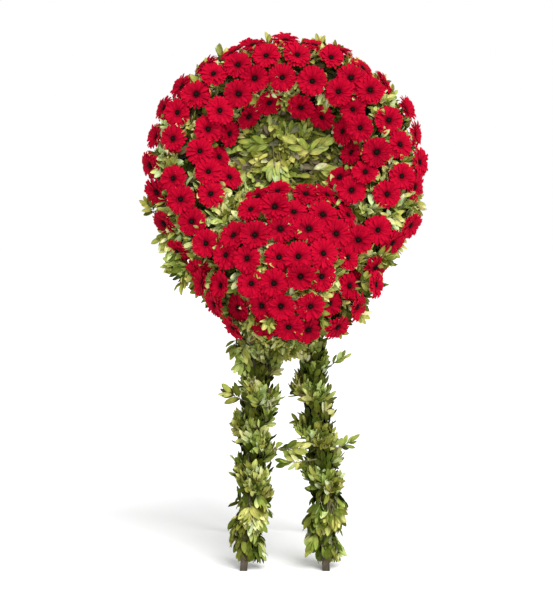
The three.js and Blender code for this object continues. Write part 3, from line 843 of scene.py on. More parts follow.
def sprig_leaves(start, direction, random, leaves, twig_length, leaf_length, spread, facing):
    """Leaf places of one sprig, as (base, along, facing, length, width)."""
    direction = unit(direction)
    side = any_side(direction, random) if facing is None else unit(np.cross(direction, facing))
    other = np.cross(direction, side)
    found = []
    for i in range(leaves):
        share = (i + 0.6) / leaves
        turn = 2.4 * i + random.normal(0, 0.35)
        if facing is not None:
            turn = (0 if i % 2 else math.pi) + random.normal(0, 0.55)
        out = side * math.cos(turn) + other * math.sin(turn)
        opening = spread * (1.25 - 0.85 * share) * random.uniform(0.75, 1.25)
        along = unit(direction * math.cos(opening) + out * math.sin(opening))
        face = unit(direction * 0.8 - out * 0.5) if facing is None else unit(facing + 0.35 * out)
        face = face + random.normal(0, 0.22, 3)
        length = leaf_length * random.uniform(0.72, 1.15) * (1 - 0.12 * share)
        base = start + direction * twig_length * (0.30 + 0.70 * share)
        found.append((base, along, face, length, length * random.uniform(0.34, 0.45)))
    return found


# %% [markdown]
# A florist pulls the leaves that would hide a flower's heart, and nothing grows through the back
# board. These helpers tell where such a leaf would be, and which of a few places is furthest from any
# flower.

# %% Keeping clear of the flowers and the board
HEART_SHARE = 0.46       # of the flower's radius
OVER_FLOWER = 0.08       # a leaf further out than this hides nothing
BOARD_MARGIN = 0.003

flower_places = np.array([flower["place"] for flower in flowers])
flower_facings = np.array([flower["facing"] for flower in flowers])


def beside_flowers(place):
    """How far a place is from the axis of every flower, and how high over its petals."""
    offset = place - flower_places
    height = np.einsum("ij,ij->i", offset, flower_facings)
    return np.linalg.norm(offset - height[:, None] * flower_facings, axis=1), height


def hides_flower(place):
    """True where a place stands in front of a flower's heart."""
    aside, height = beside_flowers(place)
    before = (height > -0.008) & (height < OVER_FLOWER)
    return bool(np.any((aside < HEART_SHARE * FLOWER_RADIUS) & before))


def clearest(places):
    """Of a few places with what faces them, the one furthest from the nearest flower."""
    def room(place):
        aside, height = beside_flowers(place)
        return np.min(np.where(np.abs(height) < OVER_FLOWER, aside, 1.0))
    return max(places, key=lambda place: room(place[0]))


def behind_board(place):
    """True where a place would come out through the back board."""
    from_middle = math.hypot(place[0], place[2] - BOARD["z"])
    return place[1] > -FACE and from_middle < BOARD["radius"] + BOARD_MARGIN


# %% [markdown]
# A foliage gathers the leaves and twigs of one piece, and then grows them all into one mesh. A leaf's
# shade is scattered round that of its sprig, and the sprig's round the shade asked for, so that
# whole sprigs differ as well as single leaves.

# %% Foliage
def twig_matrix(start, direction, length):
    side = unit(np.cross(direction, (0.3, 0.5, 0.8)))
    return axes_matrix(side, np.cross(direction, side), direction * length, start)


class Foliage:
    """Leaves and twigs of one piece, in the leaning frame until they are grown."""

    def __init__(self, seed):
        self.random = np.random.default_rng(seed)
        self.leaves, self.twigs = [], []

    def leaf(self, base, along, face, length, width, shade, uneven):
        """Adds one leaf, unless it would grow through the board."""
        own = float(np.clip(shade + self.random.normal(0, uneven), 0, 1))
        if not behind_board(base) and not behind_board(base + unit(along) * length):
            self.leaves.append((base, along, face, length, width, own))

    def sprig(self, start, direction, shade, *, leaves, twig, leaf, spread,
              facing=None, mind_flowers=True):
        """Adds a twig with its leaves. twig and leaf are lengths, leaves is their number."""
        own = shade + self.random.normal(0, 0.13)
        for base, along, face, length, width in sprig_leaves(
                start, direction, self.random, leaves, twig, leaf, spread, facing):
            tip, middle = base + along * length, base + along * length / 2
            if mind_flowers and (hides_flower(tip) or hides_flower(middle)):
                continue
            self.leaf(base, along, face, length, width, own, 0.19)
        if not behind_board(start):
            self.twigs.append((start, unit(direction), twig))

    def grow(self, name, material, core=None):
        """Makes the piece: materials are 0 the leaves, 1 the bark, 2 the litter of a core."""
        growth = Growth()
        kinds = self.random.integers(0, len(leaf_kinds), len(self.leaves))
        for kind, template in enumerate(leaf_kinds):
            chosen = [leaf for leaf, k in zip(self.leaves, kinds) if k == kind]
            if chosen:
                matrices = [TO_SCENE @ placing(*leaf[:5]) for leaf in chosen]
                growth.add(template, matrices, [leaf[5] for leaf in chosen], 0)
        if self.twigs:
            twigs = [TO_SCENE @ twig_matrix(*twig) for twig in self.twigs]
            growth.add(twig_template, twigs, np.full(len(twigs), 0.5), 1)
        piece = growth.build(name, [material, twig_bark])
        # Makes the piece: materials are 0 the leaves, 1 the bark, 2 the painted shade of a core.
        if core is not None:
            start_clean()
            core.select_set(True)
            piece.select_set(True)
            bpy.context.view_layer.objects.active = piece
            bpy.ops.object.join()
        return piece


# %% [markdown]
# Behind the leaves of a thick bed lies painted shade: a near-black copy of the bed's solid, shrunk a
# little along its normals, stands for the dark inside of the bed. Its doubled points are merged
# first, so that it shrinks without tearing. The finished piece takes the place of the bed's solid and
# rides with it.

# %% The painted shade inside a bed
def painted_shade_core(node, inset):
    """Painted shade inside a leaf bed: a near-black copy of its solid, drawn in by an inset."""
    start_clean()
    core = nodes[node].copy()
    core.data = nodes[node].data.copy()
    core.parent = None
    scene.collection.objects.link(core)
    core.data.materials.clear()
    core.data.materials.append(painted_shade_fill)
    for key in list(core.keys()):
        del core[key]
    core.select_set(True)
    bpy.context.view_layer.objects.active = core
    bpy.ops.object.mode_set(mode="EDIT")
    bpy.ops.mesh.select_all(action="SELECT")
    bpy.ops.mesh.remove_doubles(threshold=0.0001)
    bpy.ops.transform.shrink_fatten(value=-inset)
    bpy.ops.object.mode_set(mode="OBJECT")
    return core


def finish_foliage(piece, node):
    """Hides the solid that a piece takes the place of, hangs the piece on the root body, and prints
    its faces.
    """
    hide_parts(node)
    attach(piece, "root")
    print(piece.name, "faces:", len(piece.data.polygons))


# %% [markdown]
# ## Sprigs of a flowered bed
# Under the flowers, dark leaves lie flat on the bed, so that nothing bare shows in a gap; their
# darkness is painted shade for the deep gaps. Sprigs fill the gaps: about half of them lie along the
# bed, the others stand up like a rosette. A sprig at the outline is told by the place of its tip,
# because that is what shapes the edge of the head.

# %% Helpers for a flowered bed
BED_LEAF_WIDTH = 0.42    # as a share of the leaf's length
LYING_SHARE = 0.55       # of the sprigs


def lay_bed(foliage, places, shade=0.13):
    """Leaves lying along the bed at places that come with what faces them; the shade given by default
    is dark, painted shade for the gaps.
    """
    for place, facing in places:
        along = any_side(facing, foliage.random) + facing * foliage.random.uniform(0.05, 0.40)
        face = facing + foliage.random.normal(0, 0.25, 3)
        length = foliage.random.uniform(0.036, 0.052)
        foliage.leaf(place, along, face, length, length * BED_LEAF_WIDTH, shade, 0.09)


def bed_sprig(foliage, start, facing):
    """A sprig of a flowered bed: it lies along the bed, or stands up like a rosette."""
    random = foliage.random
    if random.random() < LYING_SHARE:
        direction = any_side(facing, random) + facing * random.uniform(0.25, 0.75)
        foliage.sprig(start, direction, 0.66, leaves=6, twig=0.034, leaf=0.051, spread=0.75,
                      facing=facing + random.normal(0, 0.3, 3))
    else:
        direction = facing * random.uniform(0.5, 1.1) + any_side(facing, random) * 0.6
        foliage.sprig(start, direction, 0.66, leaves=6, twig=0.020, leaf=0.047, spread=1.20)


def outline_sprig(foliage, tip, direction, reach, shade, **habit):
    """A sprig that ends at a tip, and starts this far back from it."""
    foliage.sprig(tip - direction * reach, direction, shade, spread=0.85, mind_flowers=False,
                  facing=FORWARD + foliage.random.normal(0, 0.35, 3), **habit)


# %% [markdown]
# ## The leaf bed of the ring
# Five bundles of bay go round the ring, from the lower right to the lower left, and cover 60 degrees
# each. Of a few places tried for every sprig, the one furthest from any flower wins, so the sprigs
# gather in the gaps. A few more stand out past the flowers and make the rim ragged.

# %% Places on the ring
BUNDLE_START, BUNDLE_SPAN = -60, 60      # degrees
RIM_SPRIGS = [  # x and z of the tips, sprigs
    (-0.268, 1.700, 2), (-0.238, 1.730, 1), (-0.330, 1.640, 1), (-0.077, 1.786, 1), (0.095, 1.771, 1),
    (0.199, 1.748, 1), (0.352, 1.636, 2), (-0.462, 1.225, 1), (-0.418, 1.082, 2), (-0.404, 1.050, 3),
    (0.402, 1.092, 2), (0.382, 1.045, 2), (0.462, 1.180, 1)]


def bundle_angle(random, bundle):
    """An angle somewhere along a bundle, in radians."""
    return math.radians(BUNDLE_START + BUNDLE_SPAN * (bundle + random.random()))


def somewhere_on_ring(random, bundle, below, low=-24, high=204):
    """A place on a bundle. low and high say how far it may be down the outer and the inner side."""
    angle = bundle_angle(random, bundle)
    return ring_place(angle, math.radians(random.uniform(low, high)), below)


def back_of_ring(random, bundle):
    """A place behind the rim, outside the back board."""
    angle = bundle_angle(random, bundle)
    radius = random.uniform(0.375, 0.420)
    return head_point(radius * math.cos(angle), RIM["z"] + radius * math.sin(angle), 0.0), -FORWARD


def in_bundle(x, z, bundle):
    """True where a place at the rim belongs to a bundle."""
    angle = math.degrees(math.atan2(z - RIM["z"], x))
    return bundle <= (angle - BUNDLE_START) % 360 / BUNDLE_SPAN < bundle + 1


# %% Leaves of the ring
BED_LEAVES, RING_SPRIGS, BACK_LEAVES = 330, 130, 60
SIDE_SHARE = 0.34        # of the sprigs stay on the outer side

for k in range(PARTS_PER_ROW):
    foliage = Foliage(300 + k)
    random = foliage.random
    lay_bed(foliage, [somewhere_on_ring(random, k, PROUD + 0.002) for _ in range(BED_LEAVES)])
    lay_bed(foliage, [back_of_ring(random, k) for _ in range(BACK_LEAVES)], 0.40)
    for _ in range(RING_SPRIGS):
        low, high = (-12, 48) if random.random() < SIDE_SHARE else (-14, 196)
        tried = [somewhere_on_ring(random, k, PROUD + 0.008, low, high) for _ in range(4)]
        bed_sprig(foliage, *clearest(tried))
    for x, z, count in RIM_SPRIGS:
        if not in_bundle(x, z, k):
            continue
        outward = unit((x, 0, z - RIM["z"]))
        for _ in range(count):
            direction = unit(outward + random.normal(0, 0.32, 3) * (1, 0.5, 1))
            tip = head_point(x, z, 0.075) + random.normal(0, 0.008, 3)
            outline_sprig(foliage, tip, direction, 0.075, 0.54, leaves=8, twig=0.050, leaf=0.042)
    node = f"ring_leaf_bundle_{k + 1}"
    piece = foliage.grow(node + "_leaves", head_leaf, painted_shade_core(node, 0.008))
    finish_foliage(piece, node)

# %% [markdown]
# ## The leaf bed of the belly
# The belly is an oval, wider above than below. A place on it is told by a turn round its middle and
# by a share of the way out to its edge. It is covered like the ring, its upper side wall gets leaves
# too, and at its sides and below more sprigs hang over the tops of the legs.

# %% Places on the belly
def belly_oval(turn, share):
    """X and Z of a place on the belly."""
    v = share * math.sin(turn)
    x = BELLY["half_width"] * (1 + BELLY["taper"] * v) * share * math.cos(turn)
    return x, BELLY["z"] + BELLY["half_height"] * v


def somewhere_on_belly(random, below):
    turn, share = random.uniform(0, 2 * math.pi), 0.99 * math.sqrt(random.random())
    return belly_place(*belly_oval(turn, share), below)


def belly_side(random, from_turn, to_turn, share):
    """A place on the side wall between two turns, in half circles, and the way outwards."""
    turn = random.uniform(from_turn, to_turn) * math.pi
    place = head_point(*belly_oval(turn, share), random.uniform(0.01, 0.16))
    return place, np.array((math.cos(turn), -0.3 * random.random(), math.sin(turn)))


def back_of_belly(random):
    """A place at the back of the lower half."""
    turn, share = random.uniform(math.pi, 2 * math.pi), random.uniform(0.66, 0.92)
    return head_point(*belly_oval(turn, share), 0.0), -FORWARD


# %% Leaves of the belly
BELLY_LEAVES, UPPER_SIDE_LEAVES, BELLY_BACK_LEAVES = 700, 220, 170
BELLY_SPRIGS, UPPER_SIDE_SPRIGS, HANGING_SPRIGS = 230, 50, 110

foliage = Foliage(400)
random = foliage.random
lay_bed(foliage, [somewhere_on_belly(random, PROUD + 0.002) for _ in range(BELLY_LEAVES)])
lay_bed(foliage, [belly_side(random, 0.1, 0.9, 0.88) for _ in range(UPPER_SIDE_LEAVES)], 0.30)
for _ in range(BELLY_SPRIGS):
    bed_sprig(foliage, *clearest([somewhere_on_belly(random, PROUD + 0.008) for _ in range(4)]))
for _ in range(UPPER_SIDE_SPRIGS):
    bed_sprig(foliage, *belly_side(random, 0.15, 0.85, 0.87))
for _ in range(HANGING_SPRIGS):
    start, outward = belly_side(random, 0.92, 2.08, 0.95)
    direction = outward + random.normal(0, 0.35, 3)
    foliage.sprig(start - unit(direction) * 0.03, direction, 0.55, leaves=6, twig=0.032, leaf=0.048,
                  spread=0.9)
for _ in range(BELLY_BACK_LEAVES):
    lay_bed(foliage, [back_of_belly(random)], 0.40)

# %% [markdown]
# Some sprigs stand out further than the rest, and give the belly its own outline. They belong to the
# same foliage, which is grown after them.

# %% Sprigs at the edge of the head
EDGE_SPRIGS = [
    # x and z of the tip, depth, x and z of the direction, sprigs
    (0.352, 1.010, 0.105, 1.0, -0.30, 3),
    (0.326, 0.958, 0.070, 1.0, -0.35, 3),
    (0.276, 0.886, 0.085, 0.9, -0.45, 2),
    (0.005, 0.700, 0.030, 0.1, -1.0, 3),
    (-0.025, 0.708, 0.035, -0.2, -1.0, 3),
    (0.030, 0.702, 0.030, 0.3, -1.0, 3),
    (0.258, 0.840, 0.090, 0.8, -0.60, 3),
    (0.205, 0.800, 0.095, 0.6, -0.80, 2),
    (0.178, 0.770, 0.095, 0.6, -0.80, 2),
    (-0.390, 1.014, 0.070, -1.0, -0.35, 4),
    (-0.376, 0.984, 0.070, -0.9, -0.60, 3),
    (-0.345, 0.944, 0.070, -0.6, -0.90, 2),
    (-0.300, 0.914, 0.080, -0.8, -0.70, 2),
    (-0.272, 0.878, 0.080, -1.0, -0.40, 3),
    (-0.258, 0.888, 0.085, -0.8, -0.70, 2),
    (-0.216, 0.850, 0.090, -0.7, -0.70, 2),
    (0.312, 0.930, 0.125, 1.0, -0.10, 3),
    (0.268, 0.866, 0.130, 0.8, -0.5, 3),
    (0.232, 0.836, 0.120, 0.5, -0.9, 2),
    (0.178, 0.772, 0.100, 0.5, -0.7, 1),
    (-0.352, 0.972, 0.070, -1.0, -0.35, 2),
    (-0.310, 0.935, 0.070, -0.7, -0.8, 2),
    (-0.262, 0.896, 0.115, -0.4, -1.0, 2),
    (-0.212, 0.846, 0.125, -0.8, -0.6, 3),
    (-0.165, 0.775, 0.090, -0.5, -1.0, 2),
    (-0.160, 0.690, 0.020, -0.15, -1.0, 3),
    (-0.132, 0.655, 0.010, -0.05, -1.0, 2),
    (-0.046, 0.770, 0.215, 0.0, -1.0, 2),
    (0.050, 0.752, 0.200, 0.2, -1.0, 2),
    (-0.112, 0.792, 0.185, -0.3, -1.0, 2),
    (0.116, 0.784, 0.190, 0.4, -1.0, 2),
]
for x, z, depth, side_x, side_z, count in EDGE_SPRIGS:
    for _ in range(count):
        direction = np.array((side_x, 0.15 * random.normal(), side_z)) + random.normal(0, 0.14, 3)
        tip = head_point(x, z, depth) + random.normal(0, 0.011, 3)
        outline_sprig(foliage, tip, unit(direction), 0.085, 0.42, leaves=9, twig=0.055, leaf=0.046)
finish_foliage(foliage.grow("belly_leaves", head_leaf, painted_shade_core("belly_leaf_bed", 0.008)),
               "belly_leaf_bed")

# %% [markdown]
# ## The nest
# Here no flowers hide the leaves, so their order shows. They lie flat, like shingles, and sweep to
# the left on the left, down in the middle, and down to the right on the right, with dark gaps and
# twigs between. A place is told by u and v, its shares of the way out to the right and up.

# %% Places in the nest, and how its leaves lie
def somewhere_in_nest(random):
    turn, share = random.uniform(0, 2 * math.pi), math.sqrt(random.random())
    u, v = share * math.cos(turn), share * math.sin(turn)
    depth = np.interp(share, (0, 0.35, 0.7, 1), (0.060, 0.058, 0.052, 0.036))
    return u, v, head_point(0.215 * u, NEST["z"] + 0.165 * v, depth)


def nest_flow(random, u, v):
    """Which way the leaves lie at a place of the nest."""
    if v > 0.35:
        return np.array((0.3 * u, 0, 1.0 if random.random() < 0.5 else -1.0))
    if v < -0.35:
        return np.array((1.0, 0, 0.15)) if u > -0.1 else np.array((-0.9, 0, -0.5))
    if u > 0.35:
        return np.array((0.45, 0, -1.0))
    if u < -0.15:
        return np.array((-1.0, 0, 0.1))
    return np.array((0.1, 0, -1.0)) if u < 0.12 else np.array((0.6, 0, 0.8))


# %% Leaves of the nest
NEST_LEAVES, NEST_SPRIGS = 420, 150
TOP_SPRIGS = [  # x and z of the start, x and z of the direction, shade, leaves
    (-0.040, 1.410, 0.05, -1.0, 0.82, 9), (-0.022, 1.400, 0.15, -1.0, 0.76, 8),
    (-0.020, 1.412, -1.0, 0.02, 0.78, 8), (0.045, 1.358, 0.8, 0.55, 0.76, 8),
    (0.110, 1.372, -0.8, 0.50, 0.74, 7), (0.060, 1.330, 1.0, -0.10, 0.74, 8),
    (-0.100, 1.350, -0.7, -0.7, 0.74, 7)]

foliage = Foliage(500)
random = foliage.random
# These bed leaves are dark as well: painted shade in the gaps of the nest.
lay_bed(foliage, [(somewhere_in_nest(random)[2], FORWARD) for _ in range(NEST_LEAVES)], 0.17)
for _ in range(NEST_SPRIGS):
    u, v, start = somewhere_in_nest(random)
    direction = nest_flow(random, u, v) + random.normal(0, 0.28, 3) * (1, 0.2, 1) + FORWARD * 0.15
    foliage.sprig(start - unit(direction) * 0.03, direction, 0.50 - 0.24 * max(u, 0), leaves=6,
                  twig=0.046, leaf=0.052, spread=0.6, facing=FORWARD + random.normal(0, 0.28, 3))
for x, z, side_x, side_z, shade, leaves in TOP_SPRIGS:  # these lie on top of the others
    start, direction = head_point(x, z, 0.072), np.array((side_x, -0.12, side_z))
    foliage.sprig(start, direction, shade, leaves=leaves, twig=0.012 * leaves, leaf=0.058, spread=0.5,
                  facing=FORWARD + random.normal(0, 0.12, 3))
finish_foliage(foliage.grow("nest_leaves", nest_leaf, painted_shade_core("nest_leaf_mat", 0.006)),
               "nest_leaf_mat")

# %% [markdown]
# ## The bunches on the legs
# The lowest bunch on each leg hangs with its tips down and hides the lath almost to the floor. The
# others are tied in with their tips up, each covering the tie of the one above. A swell says how far
# out the leaves of a bunch reach, from its tie to its tips: narrow at the waist, then full.

# %% Sizes of the bunches
# Height and width of a bunch, as shares of its length and of its greatest width
HANGING = [(0, 0.45), (0.2, 0.78), (0.42, 1), (0.66, 0.9), (0.88, 0.62), (1, 0.44)]
FROM_WAIST = [(0, 0.5), (0.2, 0.74), (0.5, 0.95), (0.78, 1), (1, 0.86)]
UPRIGHT = [(0, 0.72), (0.25, 0.86), (0.5, 0.95), (0.78, 1), (1, 0.84)]
BUNCHES = [  # height of the tie and of the tips, swell
    (0.236, 0.034, HANGING), (0.238, 0.392, FROM_WAIST), (0.394, 0.536, UPRIGHT),
    (0.538, 0.680, UPRIGHT), (0.682, 0.812, UPRIGHT)]
BUNCH_RADIUS = 0.084
TUFTS, SPRIGS_PER_TUFT, INNER_LEAVES = 17, 4, 190
GOLDEN_ANGLE, GOLDEN_SHARE = 2.4, 0.618  # from one tuft to the next: round the leg, and up it
LEFT, RIGHT = -1, 1
# How far each bunch has slipped to the right on its lath, and how wide it is, from the lowest up
SLIP = {LEFT: (0.014, 0.018, 0.010, 0.022, 0.022), RIGHT: (0.014, 0.006, -0.006, -0.014, -0.018)}
FULLNESS = {LEFT: (0.98, 1.0, 1.05, 0.90, 0.92), RIGHT: (0.98, 0.98, 0.94, 0.86, 0.76)}
LOWEST_LEAF = 0.022      # a leaf whose tip comes lower than this would touch the floor
HABITS = {
    "hanging": {"begin": 0.44, "lean": 0.34, "spread": 0.50, "twig": 0.046, "leaf": 0.053,
                "inner_painted_shade": 0.30, "shade": 0.50, "last_leaf": 0.96, "tufts_over": 0.84},
    "upright": {"begin": 0.30, "lean": 0.62, "spread": 0.70, "twig": 0.042, "leaf": 0.047,
                "inner_painted_shade": 0.20, "shade": 0.55, "last_leaf": 0.82, "tufts_over": 0.90},
}

# %% [markdown]
# First come dark inner leaves close to the lath, painted shade inside the bunch, then the tufts. A
# tuft is a handful of sprigs that start near each other and reach equally far, so the bunch gets
# lumps and hollows. A habit says how hanging and upright bunches differ: where a sprig begins, as a
# share of the bunch's width, how much it leans out, the spread of its leaves, its sizes and shades,
# and how far up leaves and tufts go.

# %% Helpers for a bunch
def leg_point(side, z):
    """A place on the middle of the left or the right leg."""
    x = LEG["foot_x"] + (LEG["top_x"] - LEG["foot_x"]) * z / LEG["height"]
    return np.array((side * x, 0, z))


def level(turn):
    """The level direction with this turn round the leg."""
    return np.array((math.cos(turn), math.sin(turn), 0))


def make_bunch(side, number):
    """What one bunch is like, counted from the lowest."""
    tied, tips, swell = BUNCHES[number]
    hangs = tips < tied
    return {
        "side": side, "tied": tied, "length": tips - tied, "swell": swell,
        "up": np.array((0, 0, -1.0 if hangs else 1.0)), "slip": np.array((SLIP[side][number], 0, 0)),
        "fullness": FULLNESS[side][number], **HABITS["hanging" if hangs else "upright"],
    }


# An inner leaf's low shade is painted shade inside the bunch.
def add_inner_leaf(foliage, bunch):
    random = foliage.random
    out = level(random.uniform(0, 2 * math.pi))
    share = random.uniform(-0.1, bunch["last_leaf"])
    start = leg_point(bunch["side"], bunch["tied"] + bunch["length"] * share)
    length = random.uniform(0.036, 0.050)
    foliage.leaf(start + 0.35 * bunch["slip"] + out * random.uniform(0.024, 0.034),
                 bunch["up"] + random.normal(0, 0.4, 3), out + random.normal(0, 0.2, 3),
                 length, length * BED_LEAF_WIDTH, bunch["inner_painted_shade"], 0.07)


def add_tuft(foliage, bunch, number):
    random, lean = foliage.random, bunch["lean"]
    about = GOLDEN_ANGLE * number + random.normal(0, 0.3)
    middle = -0.12 + bunch["tufts_over"] * ((GOLDEN_SHARE * number + random.normal(0, 0.04)) % 1)
    reach = random.uniform(0.74, 1.22) * bunch["fullness"]
    for _ in range(SPRIGS_PER_TUFT):
        out = level(about + random.normal(0, 0.38))
        share = middle + random.normal(0, 0.07)
        swell = np.interp(share + 0.3, *zip(*bunch["swell"]))
        width = swell * reach * random.uniform(0.85, 1.1)
        start = leg_point(bunch["side"], bunch["tied"] + bunch["length"] * share) + bunch["slip"]
        direction = (out * lean * width + bunch["up"] * math.sqrt(1 - lean * lean)
                     + random.normal(0, 0.14, 3))
        foliage.sprig(start + out * bunch["begin"] * width * BUNCH_RADIUS, direction, bunch["shade"],
                      leaves=7, twig=bunch["twig"], leaf=bunch["leaf"], spread=bunch["spread"],
                      facing=out + random.normal(0, 0.42, 3))


# %% Leaves of the legs
for side, side_name in ((LEFT, "left"), (RIGHT, "right")):
    for k in range(len(BUNCHES)):
        foliage = Foliage(600 + 20 * k + side)
        bunch = make_bunch(side, k)
        for _ in range(INNER_LEAVES):
            add_inner_leaf(foliage, bunch)
        for number in range(TUFTS):
            add_tuft(foliage, bunch, number)
        if k == 0 and side == RIGHT:  # one twig hangs lower than the rest, on the inner side
            start = leg_point(side, 0.150) + (-0.022, -0.030, 0)
            foliage.sprig(start, (-0.28, -0.10, -1.0), 0.60, leaves=6, twig=0.075, leaf=0.050,
                          spread=0.40, facing=FORWARD)
        foliage.leaves = [leaf for leaf in foliage.leaves
                          if (leaf[0] + unit(leaf[1]) * leaf[3])[2] > LOWEST_LEAF]
        node = f"{side_name}_leg_bunch_{k + 1}"
        finish_foliage(foliage.grow(node + "_leaves", leg_leaf), node)

# %% [markdown]
# ## Loose sprigs
# A few sprigs stick out sideways, and two reach across between the legs and meet. Each is told by its
# start and its end, as a height on a leg and a step away from it.

# %% Loose sprigs
LOOSE = {  # leg, (height, x, y) of the start and of the end, shade, leaves, length of a leaf
    "crossing_sprig": [
        (LEFT, (0.398, 0.044, -0.050), RIGHT, (0.402, -0.066, -0.056), 0.45, 11, 0.050),
        (RIGHT, (0.366, -0.012, -0.050), LEFT, (0.356, 0.118, -0.052), 0.50, 10, 0.046)],
    "left_sprig": [(LEFT, (0.556, -0.018, -0.046), LEFT, (0.590, -0.086, -0.058), 0.45, 10, 0.046)],
    "right_sprig": [(RIGHT, (0.392, 0.040, -0.040), RIGHT, (0.424, 0.106, -0.050), 0.45, 7, 0.046)],
    "right_upper_sprig": [
        (RIGHT, (0.668, 0.040, -0.034), RIGHT, (0.706, 0.098, -0.044), 0.45, 6, 0.036)],
}


def beside_leg(side, place):
    z, x, y = place
    return leg_point(side, z) + (x, y, 0)


for node, sprigs in LOOSE.items():
    foliage = Foliage(len(node))
    for from_side, start, to_side, end, shade, leaves, leaf in sprigs:
        start, end = beside_leg(from_side, start), beside_leg(to_side, end)
        foliage.sprig(start, end - start, shade, leaves=leaves, twig=np.linalg.norm(end - start),
                      leaf=leaf, spread=0.8, facing=FORWARD)
    finish_foliage(foliage.grow(node + "_leaves", leg_leaf), node)

# %% [markdown]
# ## Timber, board and straw
# These solids already have their true shape, so they only get their finish.

# %% Finish of the easel
FINISHES = {
    "left_leg": timber_upright, "right_leg": timber_upright,
    "left_rear_prop": timber_upright, "right_rear_prop": timber_upright,
    "top_rail": timber_across, "lower_rail": timber_across,
    "left_prop_stay": timber_back, "right_prop_stay": timber_back,
    "back_board": fibre_board, "straw_ring": straw, "belly_core": straw,
}
for name, material in FINISHES.items():
    nodes[name].data.materials.clear()
    nodes[name].data.materials.append(material)
print("finished solids:", len(FINISHES))

# %% [markdown]
# ## Nails
# Two nails hold each joint at the back of the easel. A nail belongs on the face of its lath, near the
# end, so the helpers look that face up in the lath's own mesh and measure along it.

# %% Finding a lath's face
def face_towards(node, direction):
    """Corners of the lath's widest face that looks this way, and the way it faces."""
    mesh, best = nodes[node].data, None
    for face in mesh.polygons:
        if face.normal.dot(Vector(direction)) > 0.9 and (best is None or face.area > best.area):
            best = face
    normal = np.array(best.normal)
    level = np.dot(normal, mesh.vertices[best.vertices[0]].co)
    corners = np.array([vertex.co for vertex in mesh.vertices])
    return corners[np.abs(corners @ normal - level) < 0.0004], normal


def along_face(corners, axis, low, inset):
    """The middle of the face's end on an axis, moved in from it."""
    end = corners[:, axis].min() if low else corners[:, axis].max()
    other = corners[:, axis].max() if low else corners[:, axis].min()
    near = corners[np.abs(corners[:, axis] - end) < 0.014].mean(axis=0)
    far = corners[np.abs(corners[:, axis] - other) < 0.014].mean(axis=0)
    return near + unit(far - near) * inset


# %% Nails
def nail_template():
    """A flat nail head with a bevelled edge, standing out of its face along Z."""
    start_clean()
    bpy.ops.mesh.primitive_cylinder_add(vertices=10, radius=0.0036, depth=0.003,
                                        location=(0, 0, 0.0004))
    obj = bpy.context.object
    bpy.ops.object.transform_apply(location=True)
    bpy.ops.object.mode_set(mode="EDIT")
    bpy.ops.mesh.select_all(action="SELECT")
    bpy.ops.mesh.bevel(offset=0.0006, segments=1)
    bpy.ops.object.mode_set(mode="OBJECT")
    return to_template(obj)


def standing(place, normal):
    """A matrix that stands a template on a face: Z out of it."""
    side = unit(np.cross(normal, (0.2, 0.1, 1.0)))
    return axes_matrix(side, np.cross(normal, side), normal, place)


nail_places = []
for side_name, inwards in (("left", 1), ("right", -1)):
    corners, normal = face_towards(side_name + "_rear_prop", (0, 0.97, 0.25))
    nail_places += [(along_face(corners, 2, False, inset), normal) for inset in (0.045, 0.105)]
    corners, normal = face_towards(side_name + "_prop_stay", (inwards, 0, 0))
    for low in (True, False):
        place = along_face(corners, 1, low, 0.014)
        nail_places += [(place + (0, 0, rise), normal) for rise in (-0.006, 0.007)]
nails = Growth()
stands = [standing(*place) for place in nail_places]
nails.add(nail_template(), stands, np.full(len(stands), 0.5))
nail_heads = nails.build("nail_heads", [steel_wire])
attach(nail_heads, "root")
print("nails:", len(nail_places))

# %% [markdown]
# ## Binding wire
# Wire holds the rest. Short stitches with a twisted tail go through the board round the ring, and
# turns of wire go over the rim and bind the leaves. A wire is a thin cylinder, cut at equal steps,
# whose rings are raised to the heights given.

# %% Bent wires
WIRE_RADIUS = 0.0012


def wire_template(bends):
    """A wire along X, 1 m long, bent by raising its rings to the heights given."""
    start_clean()
    bpy.ops.mesh.primitive_cylinder_add(vertices=6, radius=1, depth=1, rotation=(0, math.pi / 2, 0))
    obj = bpy.context.object
    bpy.ops.object.transform_apply(rotation=True)
    bpy.ops.object.mode_set(mode="EDIT")
    for cut in np.linspace(-0.5, 0.5, len(bends))[1:-1]:
        bpy.ops.mesh.select_all(action="SELECT")
        bpy.ops.mesh.bisect(plane_co=(cut, 0, 0), plane_no=(1, 0, 0))
    bpy.ops.object.mode_set(mode="OBJECT")
    template = to_template(obj)
    at = template["points"][:, 0].copy()
    template["points"] *= (1, WIRE_RADIUS, WIRE_RADIUS)
    template["points"][:, 2] += np.interp(at, np.linspace(-0.5, 0.5, len(bends)), bends)
    return template


def laid(place, along, normal, length):
    """A matrix that lays a wire at a place: X along it, Z out of its face."""
    along = unit(along)
    return TO_SCENE @ axes_matrix(along * length, unit(np.cross(normal, along)), normal, place)


stitch = wire_template((-0.006, 0.0008, 0.0014, 0.0014, 0.0008, -0.006))
tail = wire_template((0.001, 0.003, 0.0015, 0.004))
turn_over = wire_template((0.0, 0.004, 0.0055, 0.004, -0.010))

# %% Binding wire
STITCHES, STITCH_RADIUS, STITCH_LENGTH, TAIL_LENGTH = 12, 0.285, 0.040, 0.018
RIM_TURNS, FIRST_TURN, TURN_STEP = 25, -57, 12.3         # degrees
TURN_RADIUS, TURN_LENGTH = 0.388, 0.075
BOARD_BACK = -0.0202

